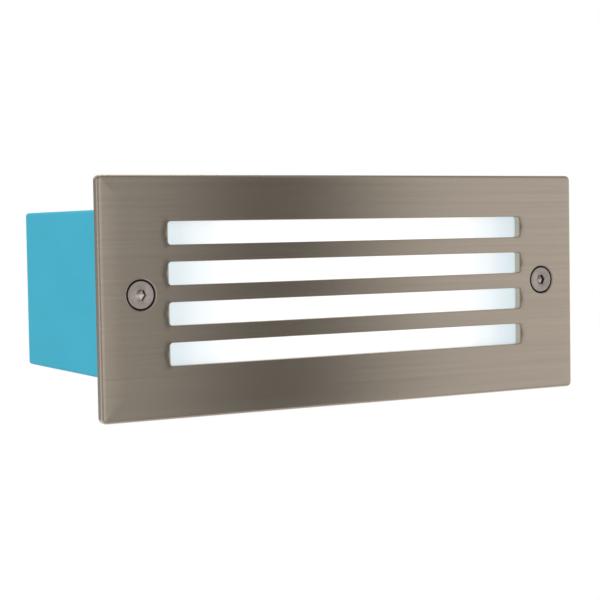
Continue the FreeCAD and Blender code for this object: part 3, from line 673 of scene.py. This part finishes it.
class Finishes:
    """Every finish on the object, by what it is on."""

    plate = MetalFinish("brushed_stainless_plate", (0.55, 0.475, 0.388), 0.25, scatter=0.06,
                        shades=(0.935, 1.065), grain=Grain.ALONG_PLATE, grain_size=0.16 * MM,
                        mark_depth=0.001 * MM, anisotropy=0.95, rotation=0.25)
    cover_screw = ScrewFinish("blasted_stainless_screw", (0.535, 0.474, 0.432), 0.38)
    clip = MetalFinish("spring_steel_clip", (0.42, 0.43, 0.45), 0.30, grain_size=0.2 * MM,
                       mark_depth=0.003 * MM)
    seal = RubberFinish("black_seal_rubber", (0.008, 0.007, 0.006), 0.62)
    gasket = RubberFinish("dark_grey_gasket_silicone", (0.035, 0.036, 0.040), 0.70, pore_size=0.4 * MM)
    pane = LitPaneFinish("lit_frosted_pane", (0.34, 0.36, 0.38), 0.45)
    housing = MetalFinish("blasted_cast_alloy", (0.50, 0.51, 0.52), 0.55, shades=(0.93, 1.07),
                          grain_size=0.5 * MM, mark_depth=0.03 * MM)
    reflector = PlasticFinish("white_reflector_plastic", (0.86, 0.87, 0.87), 0.35, shades=(0.99, 1.01),
                              texture_size=0.8 * MM, texture_depth=0.006 * MM, coat=0.2)
    board = CircuitFinish("white_masked_board", (0.84, 0.85, 0.84), 0.38)
    lamp_body = PlasticFinish("lamp_ceramic_body", (0.86, 0.85, 0.81), 0.40, shades=(0.99, 1.01),
                              texture_size=0.15 * MM, texture_depth=0.004 * MM)
    phosphor = PhosphorFinish("lamp_phosphor", (0.88, 0.66, 0.10), 0.25)
    pad = RubberFinish("grey_thermal_pad", (0.24, 0.26, 0.29), 0.65, pore_size=0.3 * MM)
    tray = MetalFinish("mill_finish_alloy", (0.66, 0.67, 0.68), 0.34, shades=(0.94, 1.06),
                       grain=Grain.ALONG_PLATE)
    small_screw = MetalFinish("zinc_plated_steel", (0.62, 0.64, 0.66), 0.28, shades=(0.88, 1.12),
                              grain_size=0.25 * MM, mark_depth=0.003 * MM)
    driver = PlasticFinish("driver_case_plastic", (0.74, 0.74, 0.71), 0.50, shades=(0.98, 1.02),
                           texture_size=0.35 * MM, texture_depth=0.025 * MM)
    terminal = PlasticFinish("natural_terminal_plastic", (0.80, 0.79, 0.72), 0.38, shades=(0.97, 1.03),
                             texture_size=0.6 * MM, texture_depth=0.008 * MM, coat=0.15)
    brass = TurnedFinish("turned_brass", (0.70, 0.50, 0.20), 0.28)
    tin = MetalFinish("tin_plated_lug", (0.66, 0.66, 0.64), 0.32, shades=(0.92, 1.08), grain_size=0.2 * MM)
    brown_lead = SleeveFinish("brown_sleeve", (0.085, 0.030, 0.012), 0.36)
    blue_lead = SleeveFinish("blue_sleeve", (0.012, 0.055, 0.30), 0.36)
    earth_lead = SleeveFinish("green_yellow_sleeve", (0.02, 0.20, 0.035), 0.36, stripe=(0.72, 0.62, 0.03))
    red_lead = SleeveFinish("red_sleeve", (0.42, 0.012, 0.012), 0.36)
    black_lead = SleeveFinish("black_sleeve", (0.012, 0.012, 0.013), 0.36)
    gland = PlasticFinish("black_gland_nylon", (0.022, 0.022, 0.024), 0.42, shades=(0.85, 1.15),
                          texture_size=0.3 * MM, texture_depth=0.012 * MM)
    wall_box = PlasticFinish("light_blue_box_plastic", (0.062, 0.530, 0.735), 0.60, shades=(0.975, 1.025),
                             texture_size=0.5 * MM, texture_depth=0.018 * MM, specular=0.25)
    plug = RubberFinish("black_plug_rubber", (0.018, 0.018, 0.020), 0.60)


# ---- Meshes ----

class Sketch:
    """Rings of points, joined into one closed mesh."""

    def __init__(self) -> None:
        """Starts with an empty mesh."""
        self.mesh = bmesh.new()
        self.material_index = 0

    def ring(self, points: Iterable[Sequence[float]]) -> Ring:
        """Adds points, in metres, in their order round a loop."""
        return [self.mesh.verts.new(Vector(point)) for point in points]

    def wall(self, first: Ring, second: Ring) -> None:
        """Joins two rings with a band of faces.

        Args:
            first: one ring.
            second: the other, of as many points.
        """
        count = len(first)
        for here in range(count):
            after = (here + 1) % count
            self._face([first[here], first[after], second[after], second[here]])

    def walls(self, rings: Sequence[Ring]) -> None:
        """Joins each ring to the one after it."""
        for first, second in pairwise(rings):
            self.wall(first, second)

    def cap(self, ring: Ring) -> None:
        """Closes a ring with one flat face."""
        self._face(ring)

    def dome(self, ring: Ring, tip: Sequence[float]) -> None:
        """Closes a ring with a tip.

        Args:
            ring: the ring.
            tip: the point where the faces meet.
        """
        point = self.mesh.verts.new(Vector(tip))
        for first, second in zip(ring, ring[1:] + ring[:1]):
            self._face([first, second, point])

    def sheet(self, rings: Sequence[Ring]) -> None:
        """Fills the flat area between rings.

        Args:
            rings: the outer ring and those inside it.
        """
        edges = []
        for ring in rings:
            for first, second in zip(ring, ring[1:] + ring[:1]):
                edges.append(self.mesh.edges.get((first, second)) or self.mesh.edges.new((first, second)))
        made = bmesh.ops.triangle_fill(self.mesh, use_beauty=True, use_dissolve=False, edges=edges)
        for item in made["geom"]:
            if isinstance(item, bmesh.types.BMFace):
                item.material_index = self.material_index

    def _face(self, verts: Sequence[bmesh.types.BMVert]) -> None:
        """Adds one face with the present material."""
        self.mesh.faces.new(verts).material_index = self.material_index

    def piece(self, name: str, finishes: Sequence[Finish]) -> bpy.types.Object:
        """Ends the sketch.

        Args:
            name: the piece's name.
            finishes: its finishes, in the order of their numbers.

        Returns:
            The piece, in the scene.
        """
        bmesh.ops.recalc_face_normals(self.mesh, faces=self.mesh.faces)
        open_edges = sum(1 for edge in self.mesh.edges if len(edge.link_faces) != 2)
        data = bpy.data.meshes.new(name)
        self.mesh.to_mesh(data)
        self.mesh.free()
        data.shade_smooth()
        data.set_sharp_from_angle(angle=CREASE)
        for finish in finishes:
            data.materials.append(finish.material())
        made = bpy.data.objects.new(name, data)
        bpy.context.scene.collection.objects.link(made)
        log.info("%s: %d faces, %d open edges", name, len(data.polygons), open_edges)
        return made


@dataclass(frozen=True)
class Corner:
    """How finely a rounded rectangle is divided."""

    corner_steps: int = 6
    end_steps: int = 1
    side_steps: int = 1

    def outline(self, half_x: float, half_z: float, radius: float, middle_z: float = 0.0,
                middle_x: float = 0.0) -> Outline:
        """Points round a rectangle with round corners.

        Args:
            half_x: half its width.
            half_z: half its height.
            radius: its corners' radius.
            middle_z: height of its centre.
            middle_x: place of its centre along the plate.

        Returns:
            (x, z) pairs, as many for any size.
        """
        arcs: list[Outline] = []
        for number, (side, up) in enumerate(((1, 1), (-1, 1), (-1, -1), (1, -1))):
            x, z = middle_x + side * (half_x - radius), middle_z + up * (half_z - radius)
            turns = [number + step / self.corner_steps for step in range(self.corner_steps + 1)]
            angles = [math.pi / 2 * turn for turn in turns]
            arcs.append([(x + radius * math.cos(angle), z + radius * math.sin(angle)) for angle in angles])
        points: Outline = []
        for number, arc in enumerate(arcs):
            (x, z), (next_x, next_z) = arc[-1], arcs[(number + 1) % len(arcs)][0]
            steps = self.end_steps if number % 2 else self.side_steps
            shares = [step / steps for step in range(1, steps)]
            points += arc + [(x + (next_x - x) * share, z + (next_z - z) * share) for share in shares]
        return points


def circle(radius: float, middle_x: float, steps: int, turn: float = 0.0) -> Outline:
    """(x, z) pairs round a circle at height 0."""
    angles = [turn + TURN * step / steps for step in range(steps)]
    return [(middle_x + radius * math.cos(angle), radius * math.sin(angle)) for angle in angles]


def quarter(steps: int) -> list[float]:
    """Angles that divide a quarter turn, without its start."""
    return [math.pi / 2 * step / steps for step in range(1, steps + 1)]


def at_depth(outline: Outline, depth: float) -> list[Point]:
    """The outline as points at this Y."""
    return [(x, depth, z) for x, z in outline]


def dress(node: str, finish: Finish) -> None:
    """Gives a construction node its finish.

    Args:
        node: the node's name.
        finish: what all its faces get.
    """
    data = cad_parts[node].data
    if data.materials:
        for place in range(len(data.materials)):
            data.materials[place] = finish.material()
    else:
        data.materials.append(finish.material())
    log.info("%s: %s", node, finish.name)


def stand_for(piece: bpy.types.Object, node: str, body: str) -> None:
    """Puts a detailed piece in the place of a construction node.

    Args:
        piece: the detailed piece.
        node: the node that it replaces.
        body: the body that it moves with.
    """
    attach(piece, body)
    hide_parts(node)


# ---- Front cover ----

@dataclass
class FrontCover:
    """The slotted plate, its gasket and the seals round its screws."""

    low: Vector = field(default_factory=lambda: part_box("front_plate")[0])
    high: Vector = field(default_factory=lambda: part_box("front_plate")[1])
    sheet_rear: float = -0.55 * MM
    corner_radius: float = 2.2 * MM
    edge_round: float = 1.2 * MM
    crown_reach: float = 9.0 * MM
    crown_drop: float = 0.24 * MM
    seat_half_x: float = 108.0 * MM
    seat_half_z: float = 34.0 * MM
    seat_radius: float = 1.5 * MM
    slot_half_x: float = 85.6 * MM
    slot_half_z: float = 4.55 * MM
    slot_radius: float = 1.2 * MM
    slot_pitch: float = 15.9 * MM
    slot_count: int = 4
    roll_reach: float = 0.35 * MM
    roll_drop: float = 0.35 * MM
    sunk_side: float = 3.1 * MM
    sunk_end: float = 4.6 * MM
    side_drop: float = 0.05 * MM
    side_reach: float = 2.6 * MM
    dip_drop: float = 0.11 * MM
    dip_reach_x: float = 3.8 * MM
    dip_reach_z: float = 5.2 * MM
    dip_flatness: float = 0.9
    screw_x: float = 97.7 * MM
    countersink_radius: float = 6.3 * MM
    countersink_break: float = 0.12 * MM
    shank_hole_radius: float = 3.3 * MM
    least_radius: float = 0.35 * MM
    wall_guard: float = 0.08 * MM
    round_steps: int = 48
    roll_steps: int = 7
    face_insets: Sequence[float] = (2 * MM, 3 * MM, 4.2 * MM, 5.6 * MM, 7.2 * MM, 9 * MM, 9.6 * MM)
    sunk_shares: Sequence[float] = (0.12, 0.28, 0.46, 0.64, 0.82, 1.0)

    @property
    def front(self) -> float:
        """Y of the plate's flat face."""
        return self.low.y

    def levels(self) -> list[float]:
        """Heights of the slots."""
        return [(number - (self.slot_count - 1) / 2) * self.slot_pitch for number in range(self.slot_count)]

    def crown(self, inset: float) -> float:
        """How far the face has fallen at this distance inside the plate's edge."""
        return self.crown_drop * max(0.0, 1 - inset / self.crown_reach) ** 2

    def dip(self, x: float, z: float, level: float) -> float:
        """How far the punch drew the face in beside a slot, most of all beyond its ends.

        Args:
            x: place along the plate.
            z: height.
            level: the slot's height.

        Returns:
            The depth of the dip there, in metres.
        """
        past_end = max(0.0, abs(x) - self.slot_half_x)
        past_side = max(0.0, abs(z - level) - self.slot_half_z)
        above = (z - level) / self.dip_reach_z * self.dip_flatness
        end = max(0.0, 1 - math.hypot(past_end / self.dip_reach_x, above))
        side = max(0.0, 1 - math.hypot(past_side, past_end) / self.side_reach)
        near_end = max(0.0, 1 - max(0.0, self.slot_half_x - abs(x)) / (2 * self.slot_radius))
        return self.dip_drop * end ** 2 * near_end + self.side_drop * side ** 2

    def edge(self, inset: float) -> Outline:
        """The plate's outline.

        Args:
            inset: how far inside its edge.

        Returns:
            (x, z) pairs, as many for any inset.
        """
        half_x = (self.high.x - self.low.x) / 2 - inset
        half_z = (self.high.z - self.low.z) / 2 - inset
        radius = max(self.corner_radius - inset, self.least_radius)
        return Corner().outline(half_x, half_z, radius, (self.high.z + self.low.z) / 2)

    def edge_rings(self, sketch: Sketch) -> list[Ring]:
        """Rings from the gasket seat over the rim and round the plate's edge to its flat face.

        Args:
            sketch: what the rings are drawn in.

        Returns:
            The rings, from the back to the front.
        """
        seat = Corner().outline(self.seat_half_x, self.seat_half_z, self.seat_radius)
        rings = [at_depth(seat, self.sheet_rear), at_depth(seat, self.high.y)]
        start = self.front + self.edge_round + self.crown(0)
        rings += [at_depth(self.edge(0), depth) for depth in (self.high.y, start + self.wall_guard, start)]
        for angle in quarter(self.roll_steps):
            inset = self.edge_round * (1 - math.cos(angle))
            drop = self.edge_round * (1 - math.sin(angle)) + self.crown(inset)
            rings.append(at_depth(self.edge(inset), self.front + drop))
        rings += [at_depth(self.edge(inset), self.front + self.crown(inset)) for inset in self.face_insets]
        return [sketch.ring(ring) for ring in rings]

    def slot_rings(self, sketch: Sketch, level: float) -> list[Ring]:
        """Rings from the back of a slot, up its wall and over its rolled edge to the flat face.

        Args:
            sketch: what the rings are drawn in.
            level: the slot's height.

        Returns:
            The rings, from the back to the front.
        """
        corner = Corner(end_steps=10, side_steps=24)

        def outline(end: float, side: float) -> Outline:
            """The slot's outline, this far outside its ends and its sides."""
            sizes = self.slot_half_x + end, self.slot_half_z + side, self.slot_radius + side
            return corner.outline(*sizes, level)

        def sunk(end: float, side: float, depth: float) -> list[Point]:
            """That outline at this depth, drawn in further where the face dips."""
            return [(x, depth + self.dip(x, z, level), z) for x, z in outline(end, side)]

        start = self.front + self.roll_drop
        rings = [at_depth(outline(0, 0), self.sheet_rear)]
        rings += [sunk(0, 0, depth) for depth in (start + self.wall_guard, start)]
        for angle in quarter(self.roll_steps):
            grow = self.roll_reach * (1 - math.cos(angle))
            rings.append(sunk(grow, grow, self.front + self.roll_drop * (1 - math.sin(angle))))
        for share in self.sunk_shares:
            end, side = (self.roll_reach + (reach - self.roll_reach) * share
                         for reach in (self.sunk_end, self.sunk_side))
            rings.append(sunk(end, side, self.front))
        return [sketch.ring(ring) for ring in rings]

    def countersink_rings(self, sketch: Sketch, x: float) -> list[Ring]:
        """Rings from the back of a screw's hole up its countersink to the flat face.

        Args:
            sketch: what the rings are drawn in.
            x: the hole's place along the plate.

        Returns:
            The rings, from the back to the front.
        """
        edge, rim = self.countersink_radius, self.countersink_break
        steps = (
            (self.shank_hole_radius, self.sheet_rear),
            (self.shank_hole_radius, self.front + edge - self.shank_hole_radius),
            (edge, self.front + rim),
            (edge + rim, self.front + rim / 4),
            (edge + 2 * rim, self.front),
            (edge + 4 * rim, self.front),
        )
        return [sketch.ring(at_depth(circle(radius, x, self.round_steps), depth)) for radius, depth in steps]

    def plate(self) -> bpy.types.Object:
        """Makes the plate, with a crowned face, rolled slots and broken countersink edges.

        Returns:
            The piece.
        """
        sketch = Sketch()
        edge = self.edge_rings(sketch)
        cuts = [self.slot_rings(sketch, level) for level in self.levels()]
        cuts += [self.countersink_rings(sketch, side * self.screw_x) for side in (-1, 1)]
        for rings in [edge, *cuts]:
            sketch.walls(rings)
        sketch.sheet([edge[-1]] + [rings[-1] for rings in cuts])
        sketch.sheet([edge[0]] + [rings[0] for rings in cuts])
        return sketch.piece("plate", [Finishes.plate])

    def build(self) -> None:
        """Makes the plate and dresses what goes with it."""
        stand_for(self.plate(), "front_plate", "front_cover")
        dress("front_gasket", Finishes.gasket)
        for side in ("left", "right"):
            # the black seal rings under the screw heads are partly a real seal and partly painted shade: they
            # darken the gap round each head
            dress(f"screw_seal_{side}", Finishes.seal)
            dress(f"retaining_clip_{side}", Finishes.clip)


# ---- Cover screws ----

@dataclass
class CoverScrew:
    """A countersunk screw with a hexagon socket, a clip groove and a rolled thread."""

    side: str
    socket_turn: float
    low: Vector = field(init=False)
    high: Vector = field(init=False)
    x: float = field(init=False)
    head_radius: float = 5.5 * MM
    head_rim: float = 0.3 * MM
    head_break: float = 0.2 * MM
    shank_radius: float = 2.95 * MM
    socket_flats: float = 4.0 * MM
    socket_depth: float = 2.3 * MM
    socket_point: float = 0.45 * MM
    socket_break: float = 0.25 * MM
    floor_share: float = 0.94
    floor_break: float = 0.06 * MM
    groove_radius: float = 2.45 * MM
    groove: Span = (14.92 * MM, 15.78 * MM)
    thread_start: float = 16.6 * MM
    thread_pitch: float = 1.0 * MM
    thread_depth: float = 0.55 * MM
    thread_root: float = 1.25
    flank_slope: float = 3.2
    tip_break: float = 0.8 * MM
    sides: int = 48
    rows_per_turn: int = 8

    def __post_init__(self) -> None:
        """Reads where the screw is."""
        self.low, self.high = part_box(f"cover_screw_{self.side}")
        self.x = (self.low.x + self.high.x) / 2

    def round_ring(self, sketch: Sketch, radius: float, depth: float) -> Ring:
        """One round of the screw."""
        return sketch.ring(at_depth(circle(radius, self.x, self.sides), depth))

    def socket_outline(self, flats: float) -> Outline:
        """Points round the hexagon socket.

        Args:
            flats: the hexagon's width across its flats.

        Returns:
            (x, z) pairs, as many as the screw's rounds have.
        """
        per_side = self.sides // 6
        reach = flats / math.sqrt(3)
        corners = [self.socket_turn + TURN * number / 6 for number in range(7)]
        points: Outline = []
        for first, second in pairwise(corners):
            for step in range(per_side):
                share = step / per_side
                x = reach * (math.cos(first) * (1 - share) + math.cos(second) * share)
                z = reach * (math.sin(first) * (1 - share) + math.sin(second) * share)
                points.append((self.x + x, z))
        return points

    def socket_rings(self, sketch: Sketch) -> list[Ring]:
        """Rings from the socket's floor up to its broken edge on the head.

        Args:
            sketch: what the rings are drawn in.

        Returns:
            The rings, from the floor up.
        """
        top = self.low.y
        broken = self.socket_flats / math.sqrt(3) + self.socket_break
        floor = top + self.socket_depth
        return [
            sketch.ring(at_depth(self.socket_outline(self.socket_flats * self.floor_share), floor)),
            sketch.ring(at_depth(self.socket_outline(self.socket_flats), floor - self.floor_break)),
            sketch.ring(at_depth(self.socket_outline(self.socket_flats), top + self.socket_break)),
            sketch.ring(at_depth(circle(broken, self.x, self.sides, self.socket_turn), top)),
        ]

    def thread_rings(self, sketch: Sketch) -> list[Ring]:
        """Rings of the rolled thread, from its run-out under the groove to the tip.

        Args:
            sketch: what the rings are drawn in.

        Returns:
            The rings, from the groove to the tip.
        """
        rows = int((self.high.y - self.thread_start) / self.thread_pitch * self.rows_per_turn)
        rings = []
        for row in range(rows):
            depth = self.thread_start + (self.high.y - self.thread_start) * row / (rows - 1)
            run_in = min(1.0, (depth - self.thread_start) / self.thread_pitch)
            limit = self.shank_radius - max(0.0, depth - (self.high.y - self.tip_break))
            points = []
            for step in range(self.sides):
                angle = TURN * step / self.sides
                place = (depth / self.thread_pitch - step / self.sides) % 1.0
                cut = min(1.0, max(0.0, self.thread_root - abs(place - 0.5) * self.flank_slope))
                radius = min(limit, self.shank_radius - self.thread_depth * cut * run_in)
                points.append((self.x + radius * math.cos(angle), depth, radius * math.sin(angle)))
            rings.append(sketch.ring(points))
        return rings

    def build(self) -> None:
        """Makes the screw in the place of its plain node."""
        sketch = Sketch()
        socket = self.socket_rings(sketch)
        top = self.low.y
        cone_start = top + self.head_rim
        cone_end = cone_start + self.head_radius - self.shank_radius
        outside = (
            (self.head_radius - self.head_break, top),
            (self.head_radius, top + self.head_break),
            (self.head_radius, cone_start),
            (self.shank_radius, cone_end),
            (self.shank_radius, self.groove[0]),
            (self.groove_radius, self.groove[0]),
            (self.groove_radius, self.groove[1]),
            (self.shank_radius, self.groove[1]),
        )
        rings = socket + [self.round_ring(sketch, radius, depth) for radius, depth in outside]
        rings += self.thread_rings(sketch)
        sketch.walls(rings)
        sketch.dome(socket[0], (self.x, top + self.socket_depth + self.socket_point, 0.0))
        sketch.cap(rings[-1])
        piece = sketch.piece(f"screw_{self.side}", [Finishes.cover_screw])
        stand_for(piece, f"cover_screw_{self.side}", f"cover_screw_{self.side}")


# ---- Light unit ----

@dataclass
class LampRows:
    """The lamps on their board: a ceramic frame round a window of phosphor."""

    low: Vector = field(default_factory=lambda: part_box("led_chips")[0])
    high: Vector = field(default_factory=lambda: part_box("led_chips")[1])
    columns: int = 12
    rows: Sequence[float] = (-10 * MM, 10 * MM)
    half_x: float = 2.8 * MM
    half_z: float = 1.5 * MM
    body_radius: float = 0.15 * MM
    edge_break: float = 0.08 * MM
    frame_width: float = 0.45 * MM
    window_radius: float = 0.35 * MM
    window_slope: float = 0.05 * MM
    window_sink: float = 0.14 * MM
    bulge_inset: float = 0.5 * MM
    bulge_radius: float = 0.3 * MM
    bulge_height: float = 0.06 * MM

    def lamp(self, sketch: Sketch, x: float, z: float) -> None:
        """Adds one lamp.

        Args:
            sketch: what the lamp is drawn in.
            x: place of its middle along the board.
            z: height of its middle.
        """
        front, rear = self.low.y, self.high.y
        frame_end = self.frame_width
        window = front + self.window_sink
        steps = (
            (0.0, self.body_radius, rear),
            (0.0, self.body_radius, front + self.edge_break),
            (self.edge_break, self.body_radius, front),
            (frame_end, self.window_radius, front),
            (frame_end + self.window_slope, self.window_radius, window),
            (frame_end + self.bulge_inset, self.bulge_radius, window - self.bulge_height),
        )
        rings = []
        for inset, radius, depth in steps:
            outline = Corner(3).outline(self.half_x - inset, self.half_z - inset, radius, z, x)
            rings.append(sketch.ring(at_depth(outline, depth)))
        sketch.material_index = 0
        sketch.walls(rings[:-1])
        sketch.cap(rings[0])
        sketch.material_index = 1
        sketch.wall(rings[-2], rings[-1])
        sketch.cap(rings[-1])

    def build(self) -> None:
        """Makes all the lamps as one piece."""
        sketch = Sketch()
        reach = self.high.x - self.half_x
        for z in self.rows:
            for column in range(self.columns):
                self.lamp(sketch, -reach + 2 * reach * column / (self.columns - 1), z)
        piece = sketch.piece("lamps", [Finishes.lamp_body, Finishes.phosphor])
        stand_for(piece, "led_chips", "light_unit")


@dataclass
class LightUnit:
    """The sealed unit that carries the lamps, the gear and the cable gland."""

    finishes: Mapping[str, Finish] = field(default_factory=lambda: {
        "diffuser": Finishes.pane,
        "diffuser_seal": Finishes.gasket,
        "unit_housing": Finishes.housing,
        "reflector_tray": Finishes.reflector,
        "led_board": Finishes.board,
        "led_board_screws": Finishes.small_screw,
        "thermal_pad": Finishes.pad,
        "gear_tray": Finishes.tray,
        "gear_tray_screws": Finishes.small_screw,
        "driver_case": Finishes.driver,
        "driver_screws": Finishes.small_screw,
        "terminal_block": Finishes.terminal,
        "terminal_tubes": Finishes.brass,
        "terminal_screws": Finishes.small_screw,
        "terminal_fixing_screws": Finishes.small_screw,
        "live_lead": Finishes.brown_lead,
        "neutral_lead": Finishes.blue_lead,
        "earth_lead": Finishes.earth_lead,
        "earth_lug": Finishes.tin,
        "earth_screw": Finishes.brass,
        "led_lead_positive": Finishes.red_lead,
        "led_lead_negative": Finishes.black_lead,
        "tray_grommet": Finishes.seal,
        "gland_body": Finishes.gland,
        "gland_washer": Finishes.seal,
        "gland_locknut": Finishes.gland,
        "gland_seal": Finishes.seal,
        "gland_dome_nut": Finishes.gland,
    })

    def build(self) -> None:
        """Makes the lamps and dresses the unit's other pieces."""
        LampRows().build()
        for node, finish in self.finishes.items():
            dress(node, finish)


# ---- Recess box ----

@dataclass
class WallBox:
    """The plastic box that stays in the wall, its inserts and its plug."""

    def build(self) -> None:
        """Dresses the box and what is pressed into it."""
        dress("recess_box", Finishes.wall_box)
        dress("entry_plug", Finishes.plug)
        for side in ("left", "right"):
            dress(f"insert_{side}", Finishes.brass)


# ---- Studio ----

@dataclass(frozen=True)
class Lamp:
    """A square soft lamp."""

    name: str
    place: Point
    size: float
    power: float
    mirrored: bool = True

    def build(self) -> None:
        """Puts the lamp up, turned towards the object."""
        data = bpy.data.lights.new(self.name, "AREA")
        data.shape = "SQUARE"
        data.size = self.size
        data.energy = self.power
        made = bpy.data.objects.new(self.name, data)
        made.location = self.place
        made.visible_glossy = self.mirrored
        made.rotation_euler = (-Vector(self.place)).to_track_quat("-Z", "Y").to_euler()
        bpy.context.scene.collection.objects.link(made)


@dataclass
class Studio:
    """Pale floor, soft lamps, the room round them, and the camera."""

    floor_height: float = -0.60
    floor_low: Span = (-1.6, -0.5)
    floor_high: Span = (1.6, 1.9)
    floor_colour: Colour = (0.90, 0.90, 0.90)
    floor_white: float = 0.86
    shadow_fade: Span = (0.225, 0.45)
    behind: Span = (-0.1, 0.1)
    camera_place: Point = (-0.33268, -0.54680, 0.02481)
    camera_turns: Point = (math.radians(29.37), math.radians(-2.70), math.radians(-0.955))
    camera_lens: float = 91.19
    camera_sensor: float = 36.0
    camera_clip: float = 0.01
    room_bearings: Sequence[tuple[float, float]] = (
        (-180.0, 1.0), (-171.0, 0.85), (-161.0, 0.32), (-144.0, 0.35), (-122.0, 0.68), (-105.0, 0.98),
        (-75.0, 0.54), (-40.0, 0.40), (-10.0, 0.84), (8.0, 0.86), (17.0, 0.66), (20.5, 0.54), (23.4, 0.54),
        (26.1, 0.32), (28.0, 0.06), (30.5, 0.03), (32.6, 0.47), (35.0, 0.80), (38.0, 0.76), (90.0, 0.85),
        (120.0, 1.0), (180.0, 1.0),
    )
    room_dim: float = 0.55
    dim_rise: Span = (0.1, 0.7)
    lamps: Sequence[Lamp] = (
        Lamp("key", (-1.5, -0.35, 1.0), 0.9, 12.0, False),
        Lamp("top", (0.1, 0.7, 1.7), 1.2, 8.0),
    )

    def floor(self) -> None:
        """Lays the floor, which the camera sees as white with the object's soft shadow."""
        sketch = Sketch()
        (left, near), (right, far) = self.floor_low, self.floor_high
        corners = ((left, near), (right, near), (right, far), (left, far))
        sketch.cap(sketch.ring([(x, y, self.floor_height) for x, y in corners]))
        material = bpy.data.materials.new("pale_floor")
        material.use_nodes = True
        shader = Shader(material.node_tree)
        flat = shader.stretched(shader.place(), (1.0, 1.0, 0.0))
        away = shader.node("ShaderNodeVectorMath", {"operation": "LENGTH"}, {0: flat}, "Value")
        white = self.floor_white + away.rise(*self.shadow_fade) * (1.0 - self.floor_white)
        paint = shader.node("ShaderNodeBsdfDiffuse", sockets={"Color": solid(self.floor_colour)})
        glow = shader.node("ShaderNodeEmission", sockets={"Color": solid(WHITE), "Strength": 1.0})
        mixed = shader.node("ShaderNodeMixShader", sockets={0: self.seen(shader) * white, 1: paint, 2: glow})
        shader.node("ShaderNodeOutputMaterial", sockets={"Surface": mixed})
        made = sketch.piece("floor", [])
        made.data.materials.append(material)

    def seen(self, shader: Shader) -> Signal:
        """Who sees the floor as plain white.

        Args:
            shader: the floor's shader.

        Returns:
            1 for what the camera or glass sees, and for what metal sees behind the object.
        """
        camera, through, glossy = shader.rays("Is Camera Ray", "Is Transmission Ray", "Is Glossy Ray")
        _, into, _ = shader.parts(shader.place())
        return (camera + through + glossy * into.rise(*self.behind)).rise(0.0, 1.0)

    def room(self) -> None:
        """The room: white to the camera, and for other rays white behind the object and graded round it."""
        world = bpy.data.worlds.new("room")
        world.use_nodes = True
        bpy.context.scene.world = world
        shader = Shader(world.node_tree)
        along, into, up = shader.parts(shader.node("ShaderNodeTexCoord", output="Generated"))
        bearing = shader.node("ShaderNodeMath", {"operation": "ARCTAN2"}, {0: along, 1: 0.0 - into})
        stops = [(0.5 + degrees / 360, (level, level, level)) for degrees, level in self.room_bearings]
        round_about = shader.node("ShaderNodeValToRGB", {"stops": stops}, {0: 0.5 + bearing / TURN})
        mirrored = round_about * (1.0 - abs(up).rise(*self.dim_rise) * self.room_dim)
        camera, through = shader.rays("Is Camera Ray", "Is Transmission Ray")
        plain = (camera + through).rise(0.0, 1.0)
        strength = plain + (1.0 - plain) * mirrored
        glow = shader.node("ShaderNodeBackground", sockets={"Color": solid(WHITE), "Strength": strength})
        shader.node("ShaderNodeOutputWorld", sockets={"Surface": glow})

    def camera(self) -> None:
        """Stands the camera where the photograph was taken from."""
        yaw, pitch, roll = self.camera_turns
        ahead = Vector((math.sin(yaw) * math.cos(pitch), math.cos(yaw) * math.cos(pitch), math.sin(pitch)))
        right = Vector((math.cos(yaw), -math.sin(yaw), 0.0))
        up = right.cross(ahead)
        turned_right = right * math.cos(roll) + up * math.sin(roll)
        turned_up = up * math.cos(roll) - right * math.sin(roll)
        data = bpy.data.cameras.new("camera")
        data.lens = self.camera_lens
        data.sensor_width = self.camera_sensor
        data.clip_start = self.camera_clip
        made = bpy.data.objects.new("camera", data)
        axes = Matrix((turned_right, turned_up, -ahead)).transposed().to_4x4()
        made.matrix_world = Matrix.Translation(Vector(self.camera_place)) @ axes
        bpy.context.scene.collection.objects.link(made)
        bpy.context.scene.camera = made

    def build(self) -> None:
        """Sets the studio up."""
        self.floor()
        self.room()
        for lamp in self.lamps:
            lamp.build()
        self.camera()
        bpy.context.scene.view_settings.view_transform = "Standard"


class Assembly(Protocol):
    """What main() builds."""

    def build(self) -> None:
        """Makes and dresses the assembly's pieces."""


def main() -> None:
    """Builds the light and the studio round it."""
    logging.basicConfig(level=logging.INFO, format="%(name)s: %(message)s")
    screws = (CoverScrew("left", math.radians(-7)), CoverScrew("right", math.radians(4)))
    assemblies: tuple[Assembly, ...] = (FrontCover(), *screws, LightUnit(), WallBox(), Studio())
    for assembly in assemblies:
        log.info("building %s", type(assembly).__name__)
        assembly.build()


if __name__ == "__main__":
    main()
